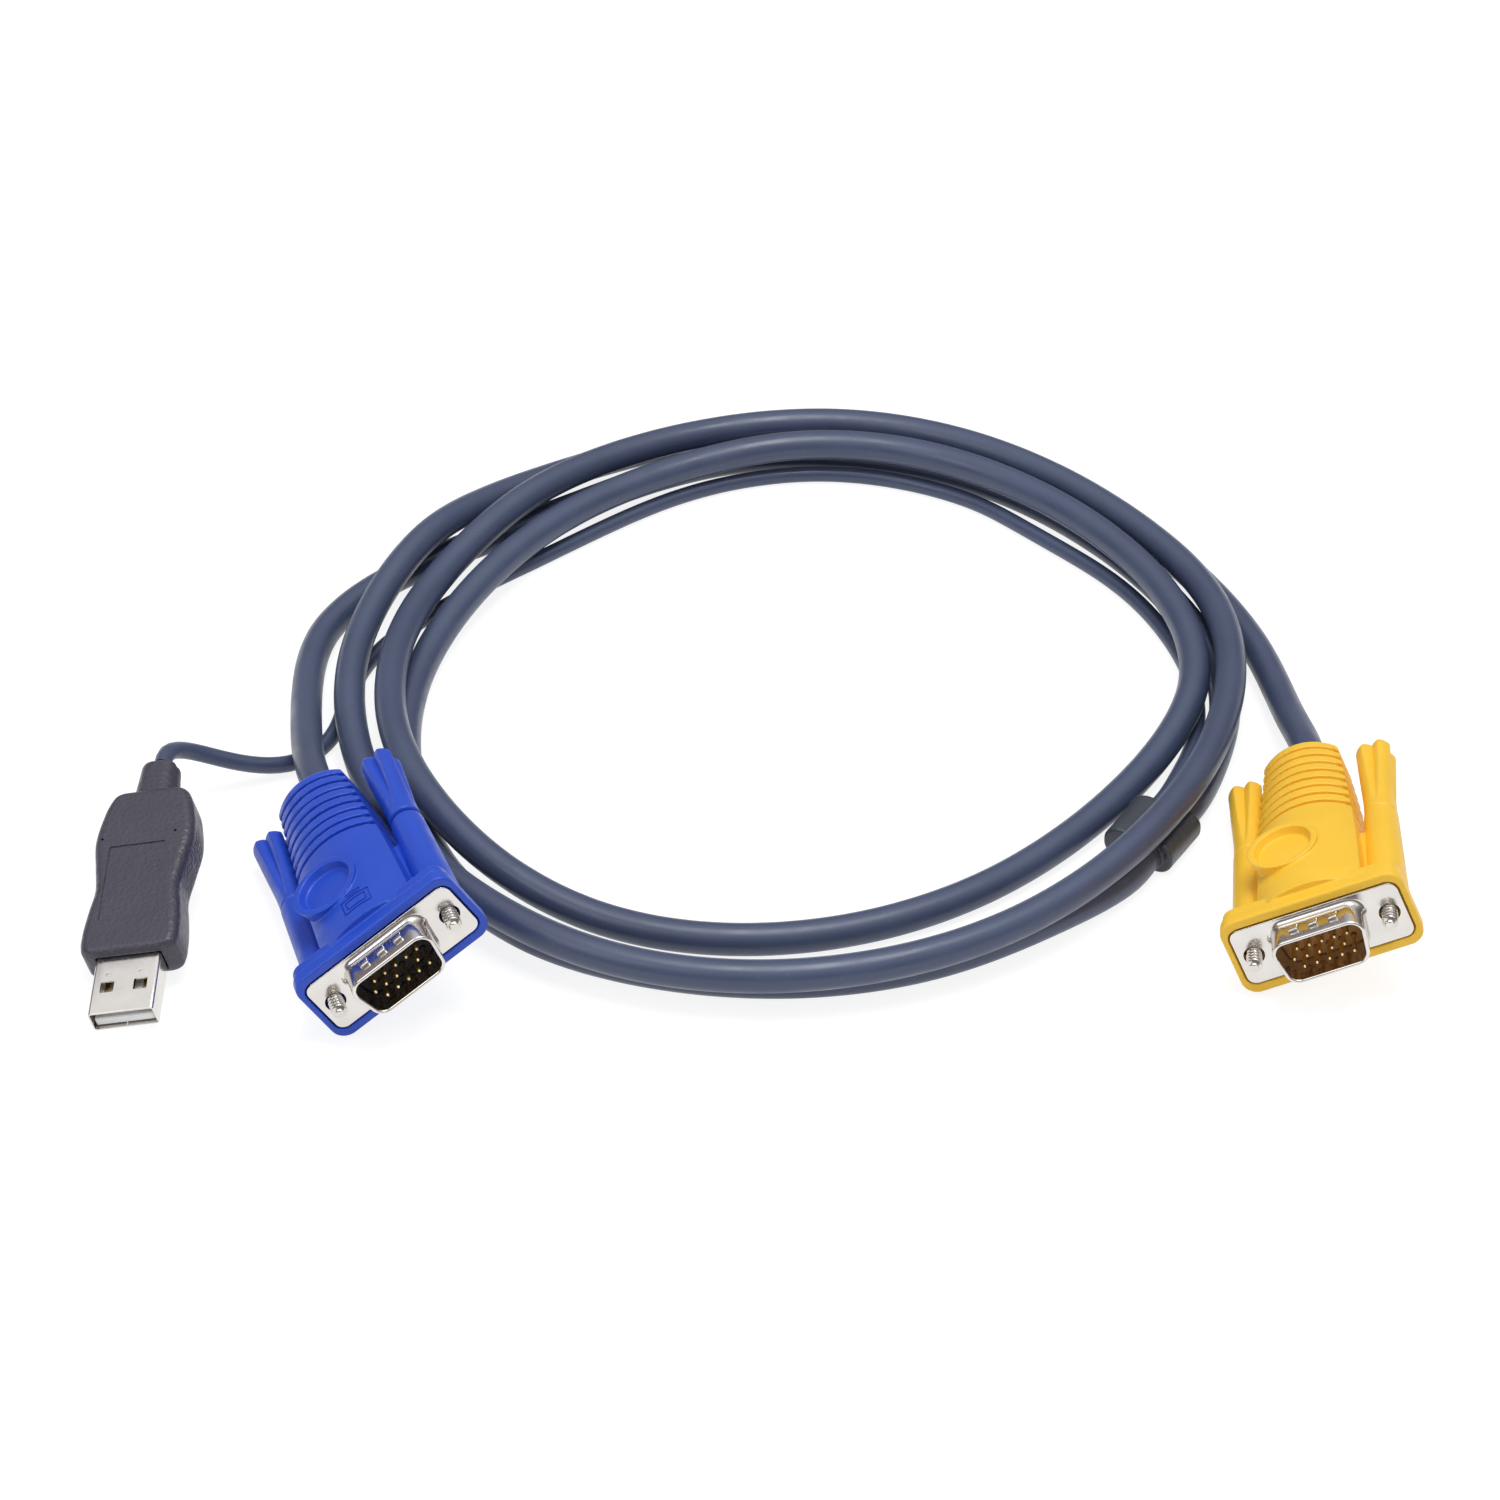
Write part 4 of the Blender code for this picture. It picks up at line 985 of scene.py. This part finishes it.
def usb_section(y, half_width, half_height, corner):
    return [(x, y, z) for x, z in rounded_rectangle(2 * half_width, 2 * half_height, corner, 8)]


def smooth_steps(points, count):
    """Values at even steps along a smooth curve through (place, value) points."""
    along, values = (np.array(column) for column in zip(*points))
    shares = np.linspace(along[0], along[-1], count)
    slopes = np.gradient(values, along)
    index = np.clip(np.searchsorted(along, shares, side="right") - 1, 0, len(along) - 2)
    width = along[index + 1] - along[index]
    share = (shares - along[index]) / width
    rest = 1 - share
    first = (1 + 2 * share) * rest**2 * values[index] + share * rest**2 * width * slopes[index]
    second = share**2 * (3 - 2 * share) * values[index + 1] - share**2 * rest * width * slopes[index + 1]
    return list(zip(shares, first + second))


def build_usb(place, tilt):
    """The USB plug: a waisted housing with its collar and engraved lines, and the folded shell."""
    at = local_frame(place, tilt)
    rings = []
    for y, half_width in smooth_steps(USB_SIDES, 90):
        end = min(y, USB_BODY_LENGTH - y)
        drop = 0.0010 * (1 - min(end / 0.0014, 1.0)) ** 2
        rings.append(usb_section(y, half_width, USB_HALF_HEIGHT - drop, USB_CORNER))
    collar_end = USB_BODY_LENGTH + COLLAR_LENGTH
    collar_stations = (
        (USB_BODY_LENGTH - 0.0020, COLLAR_HALF_WIDTH + 0.0006, COLLAR_HALF_HEIGHT),
        (USB_BODY_LENGTH + 0.0010, COLLAR_HALF_WIDTH + 0.0002, COLLAR_HALF_HEIGHT - 0.0001),
        (USB_BODY_LENGTH + 0.0035, COLLAR_HALF_WIDTH, COLLAR_HALF_HEIGHT - 0.0003),
        (collar_end - 0.0008, COLLAR_HALF_WIDTH - 0.0003, COLLAR_HALF_HEIGHT - 0.0005),
        (collar_end - 0.0003, COLLAR_HALF_WIDTH - 0.0005, COLLAR_HALF_HEIGHT - 0.0007),
        (collar_end, COLLAR_HALF_WIDTH - 0.0010, COLLAR_HALF_HEIGHT - 0.0012),
    )
    collar = loft([usb_section(y, width, height, height * 0.86) for y, width, height in collar_stations])
    seat = USB_SHELL_SEAT + RECESS_GAP
    slot_size = (USB_SHELL_WIDTH + 0.0002, seat + 0.002, USB_SHELL_HEIGHT + 0.0002)
    notch = block(COLLAR_NOTCH, (COLLAR_HALF_WIDTH, collar_end, COLLAR_NOTCH[2] / 2))
    steps = [
        ("UNION", finish_mesh(collar, "collar")),
        ("DIFFERENCE", finish_mesh(block(slot_size, (0.0, (seat - 0.002) / 2, 0.0)), "slot")),
        ("DIFFERENCE", finish_mesh(notch, "notch")),
    ]
    mesh = softened(finish_mesh(loft(rings), "usb_housing"), steps, kept=0.45)
    panel = rounded_polygon(PANEL_CORNERS, 0.0005, 4)
    low, high = USB_HALF_HEIGHT - 0.00022, USB_HALF_HEIGHT + 0.001
    engraved = [loft([[(x, y, z) for x, y in panel] for z in (low, high)])]
    for x, y in PANEL_DOTS:
        engraved.append(along_z(0.00030, 0.00030, low - 0.0002, high, x, y, 20))
    for side in (-1, 1):
        for row in range(-2, 3):
            engraved.append(block(GRIP_LINE, (side * 0.0095, 0.0262, row * GRIP_PITCH), 0.0001, 2))
    mesh = combined(mesh, [("DIFFERENCE", joined(engraved, "engraving"))])
    mesh.set_sharp_from_angle(angle=math.radians(50))
    piece("usb_housing_moulding", mesh, "charcoal_plastic", at, "cable", "usb_housing")

    def outside(inset):
        width, height = USB_SHELL_WIDTH - 2 * inset, USB_SHELL_HEIGHT - 2 * inset
        return rounded_rectangle(width, height, 0.0006 - inset, 6)

    tube = rounded_prism(outside, -USB_SHELL_REACH, USB_SHELL_SEAT, 0.0001, 3)
    inner_width, inner_height = USB_SHELL_WIDTH - 2 * USB_SHELL_WALL, USB_SHELL_HEIGHT - 2 * USB_SHELL_WALL
    inside = rounded_rectangle(inner_width, inner_height, 0.0003, 6)
    cuts = [prism(inside, -USB_SHELL_REACH - 0.002, USB_SHELL_SEAT + 0.002)]
    for side in (-1, 1):
        window = (USB_WINDOW_WIDTH, USB_WINDOW_LENGTH, 2 * USB_SHELL_HEIGHT)
        cuts.append(block(window, (side * USB_WINDOW_SPACING / 2, -USB_WINDOW_Y, 0.0)))
    seam = block((0.00012, 2 * USB_SHELL_REACH, 0.001), (0.0, -USB_SHELL_REACH / 2, -USB_SHELL_HEIGHT / 2))
    steps = [("DIFFERENCE", finish_mesh(bm, "cut")) for bm in [*cuts, seam]]
    for side in (-1, 1):
        stamp = block(STAMP, (side * USB_WINDOW_SPACING / 2, -0.0040, USB_SHELL_HEIGHT / 2), 0.00004)
        steps.append(("UNION", finish_mesh(stamp, "stamp")))
    mesh = combined(finish_mesh(tube, "usb_shell"), steps)
    mesh.set_sharp_from_angle(angle=math.radians(30))
    piece("usb_shell_folded", mesh, "nickel", at, "cable", "usb_shell")


def build_junction(place, tilt):
    """The moulded block where the cords split, with a ring round the thick cord at its front."""
    at = local_frame(place, tilt)

    def section(inset):
        width, height = JUNCTION_WIDTH - 2 * inset, JUNCTION_HEIGHT - 2 * inset
        return rounded_rectangle(width, height, JUNCTION_ROUND - inset * 0.5)

    base = rounded_prism(section, -JUNCTION_LENGTH / 2, JUNCTION_LENGTH / 2, 0.0005)
    end = -JUNCTION_LENGTH / 2
    collar = along_y(JUNCTION_RING_RADIUS, end - JUNCTION_RING_LENGTH, end + 0.002, x=JUNCTION_CORD_X)
    mesh = softened(finish_mesh(base, "junction"), [("UNION", finish_mesh(collar, "ring"))], 0.0002)
    piece("cable_junction_moulding", mesh, "dark_grey_plastic", at, "cable", "cable_junction")


def smooth_curve(points):
    """Points at even steps along the natural cubic spline through the route's points, and its length."""
    route = np.array(points, float)
    knots = np.concatenate([[0.0], np.cumsum(np.linalg.norm(np.diff(route, axis=0), axis=1) ** 0.75)])
    span = np.diff(knots)
    slope = np.diff(route, axis=0) / span[:, None]
    matrix = np.eye(len(route))
    right = np.zeros_like(route)
    for index in range(1, len(route) - 1):
        before, after = span[index - 1], span[index]
        matrix[index, index - 1 : index + 2] = before, 2 * (before + after), after
        right[index] = 6 * (slope[index] - slope[index - 1])
    bend = np.linalg.solve(matrix, right)

    def at(values):
        piece_index = np.clip(np.searchsorted(knots, values, side="right") - 1, 0, len(span) - 1)
        width = span[piece_index][:, None]
        left = (values - knots[piece_index])[:, None]
        rest = (knots[piece_index + 1] - values)[:, None]
        cubic = (bend[piece_index] * rest**3 + bend[piece_index + 1] * left**3) / (6 * width)
        start = (route[piece_index] / width - bend[piece_index] * width / 6) * rest
        stop = (route[piece_index + 1] / width - bend[piece_index + 1] * width / 6) * left
        return cubic + start + stop

    fine = np.linspace(0.0, knots[-1], 8000)
    travelled = np.concatenate([[0.0], np.cumsum(np.linalg.norm(np.diff(at(fine), axis=0), axis=1))])
    stations = np.linspace(0.0, travelled[-1], int(travelled[-1] / CORD_STEP))
    return at(np.interp(stations, travelled, fine)), float(travelled[-1])


def build_cord(name, node, route, diameter):
    curve = bpy.data.curves.new(name, "CURVE")
    curve.dimensions = "3D"
    curve.bevel_depth = diameter / 2
    curve.bevel_resolution = 10
    curve.use_fill_caps = True
    spline = curve.splines.new("POLY")
    spline.use_smooth = True
    points, length = smooth_curve(route)
    spline.points.add(len(points) - 1)
    for point, place in zip(spline.points, points):
        point.co = (*place, 1.0)
    curve.materials.append(MATERIALS["slate_blue_cord"])
    cord = bpy.data.objects.new(name, curve)
    bpy.context.scene.collection.objects.link(cord)
    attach(cord, "cable")
    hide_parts(node)


# What metal reflects: height, from 0 at the horizon to 1 overhead, and colour
STUDIO = (
    (0.00, (0.85, 0.85, 0.86, 1.0)),
    (0.10, (0.16, 0.14, 0.13, 1.0)),
    (0.42, (0.24, 0.21, 0.20, 1.0)),
    (0.60, (0.48, 0.47, 0.52, 1.0)),
    (0.74, (1.0, 1.0, 1.0, 1.0)),
    (1.00, (1.0, 1.0, 1.0, 1.0)),
)


def dress_nodes():
    """The CAD nodes that stay get the material of their slot."""
    for subpart in frame["record"]["subparts"]:
        node = frame["nodes"][subpart["node"]]
        if not node.hide_render:
            for material_slot in node.material_slots:
                material_slot.material = MATERIALS[subpart["material_slot"]]


def add_camera():
    lens = bpy.data.cameras.new("camera")
    lens.lens = CAMERA_LENS
    lens.sensor_width = SENSOR_WIDTH
    lens.sensor_fit = "HORIZONTAL"
    lens.clip_start = 0.01
    camera = bpy.data.objects.new("camera", lens)
    bpy.context.scene.collection.objects.link(camera)
    pitch = math.radians(CAMERA_PITCH)
    camera.location = Vector(AIM) + CAMERA_DISTANCE * Vector((0.0, -math.cos(pitch), math.sin(pitch)))
    camera.rotation_euler = (math.pi / 2 - pitch, 0.0, 0.0)
    bpy.context.scene.camera = camera


def add_lamp(name, place, size, power, aim=AIM):
    lamp = bpy.data.lights.new(name, "AREA")
    lamp.shape = "RECTANGLE"
    lamp.size, lamp.size_y = size
    lamp.energy = power
    obj = bpy.data.objects.new(name, lamp)
    bpy.context.scene.collection.objects.link(obj)
    obj.location = place
    obj.rotation_euler = (Vector(aim) - Vector(place)).to_track_quat("-Z", "Y").to_euler()


def seen_directly(tree):
    """One where a surface is seen by the camera, in a reflection or through glass."""
    rays = add_node(tree, "LightPath").outputs
    first = add_node(tree, "Math", operation="MAXIMUM")
    tree.links.new(rays["Is Camera Ray"], first.inputs[0])
    tree.links.new(rays["Is Glossy Ray"], first.inputs[1])
    both = add_node(tree, "Math", operation="MAXIMUM")
    tree.links.new(first.outputs["Value"], both.inputs[0])
    tree.links.new(rays["Is Transmission Ray"], both.inputs[1])
    return both.outputs["Value"]


def add_floor():
    """A white floor that is lit by the lamps, keeps the object's shadow and looks white all over."""
    bpy.ops.mesh.primitive_grid_add(x_subdivisions=2, y_subdivisions=2, size=6.0)
    floor = bpy.context.object
    floor.name = "floor"
    material = bpy.data.materials.new("white_floor")
    material.use_nodes = True
    tree = material.node_tree
    tree.nodes.clear()
    lit = add_node(tree, "BsdfDiffuse", {"Color": (0.88, 0.88, 0.88, 1.0)})
    shown = add_node(tree, "BsdfDiffuse", {"Color": (0.25, 0.25, 0.25, 1.0)})
    glow = add_node(tree, "Emission", {"Color": (1.0, 1.0, 1.0, 1.0), "Strength": 0.86})
    white = add_node(tree, "AddShader")
    tree.links.new(shown.outputs["BSDF"], white.inputs[0])
    tree.links.new(glow.outputs["Emission"], white.inputs[1])
    either = add_node(tree, "MixShader", {"Fac": seen_directly(tree)})
    tree.links.new(lit.outputs["BSDF"], either.inputs[1])
    tree.links.new(white.outputs["Shader"], either.inputs[2])
    out = add_node(tree, "OutputMaterial")
    tree.links.new(either.outputs["Shader"], out.inputs["Surface"])
    floor.data.materials.append(material)


def add_world():
    world = bpy.data.worlds.new("studio")
    bpy.context.scene.world = world
    world.use_nodes = True
    tree = world.node_tree
    tree.nodes.clear()
    light = add_node(tree, "Background", {"Color": (0.94, 0.97, 1.0, 1.0), "Strength": 0.45})
    shown = add_node(tree, "Background", {"Color": (1.0, 1.0, 1.0, 1.0), "Strength": 1.0})
    direction = add_node(tree, "TexCoord").outputs["Generated"]
    height = add_node(tree, "SeparateXYZ", {"Vector": direction}).outputs["Z"]
    studio = add_node(tree, "ValToRGB", {"Fac": height})
    ramp = studio.color_ramp
    ramp.elements[0].position, ramp.elements[0].color = STUDIO[0]
    ramp.elements[1].position, ramp.elements[1].color = STUDIO[-1]
    for position, colour in STUDIO[1:-1]:
        ramp.elements.new(position).color = colour
    mirrored = add_node(tree, "Background", {"Color": studio.outputs["Color"], "Strength": 1.0})
    either = add_node(tree, "MixShader", {"Fac": seen_directly(tree)})
    tree.links.new(light.outputs["Background"], either.inputs[1])
    tree.links.new(shown.outputs["Background"], either.inputs[2])
    glossy = add_node(tree, "LightPath").outputs["Is Glossy Ray"]
    final = add_node(tree, "MixShader", {"Fac": glossy})
    tree.links.new(either.outputs["Shader"], final.inputs[1])
    tree.links.new(mirrored.outputs["Background"], final.inputs[2])
    out = add_node(tree, "OutputWorld")
    tree.links.new(final.outputs["Shader"], out.inputs["Surface"])


build_cord("main_cord_jacket", "main_cord", MAIN_ROUTE, CORD_DIAMETER)
build_cord("video_cord_jacket", "video_cord", VIDEO_ROUTE, CORD_DIAMETER)
build_cord("usb_cord_jacket", "usb_cord", USB_ROUTE, USB_CORD_DIAMETER)
build_d_plug("yellow", YELLOW_PLACE, YELLOW_TILT)
build_d_plug("blue", BLUE_PLACE, BLUE_TILT, missing=(9,), mark=True)
build_usb(USB_PLACE, USB_TILT)
build_junction(JUNCTION_PLACE, JUNCTION_TILT)
dress_nodes()
add_camera()
add_floor()
add_world()
add_lamp("key", (0.10, 0.00, 1.15), (0.6, 0.6), 8.0)
add_lamp("fill", (-0.7, -0.45, 0.8), (0.5, 0.5), 1.6)
bpy.context.scene.view_settings.view_transform = "Standard"
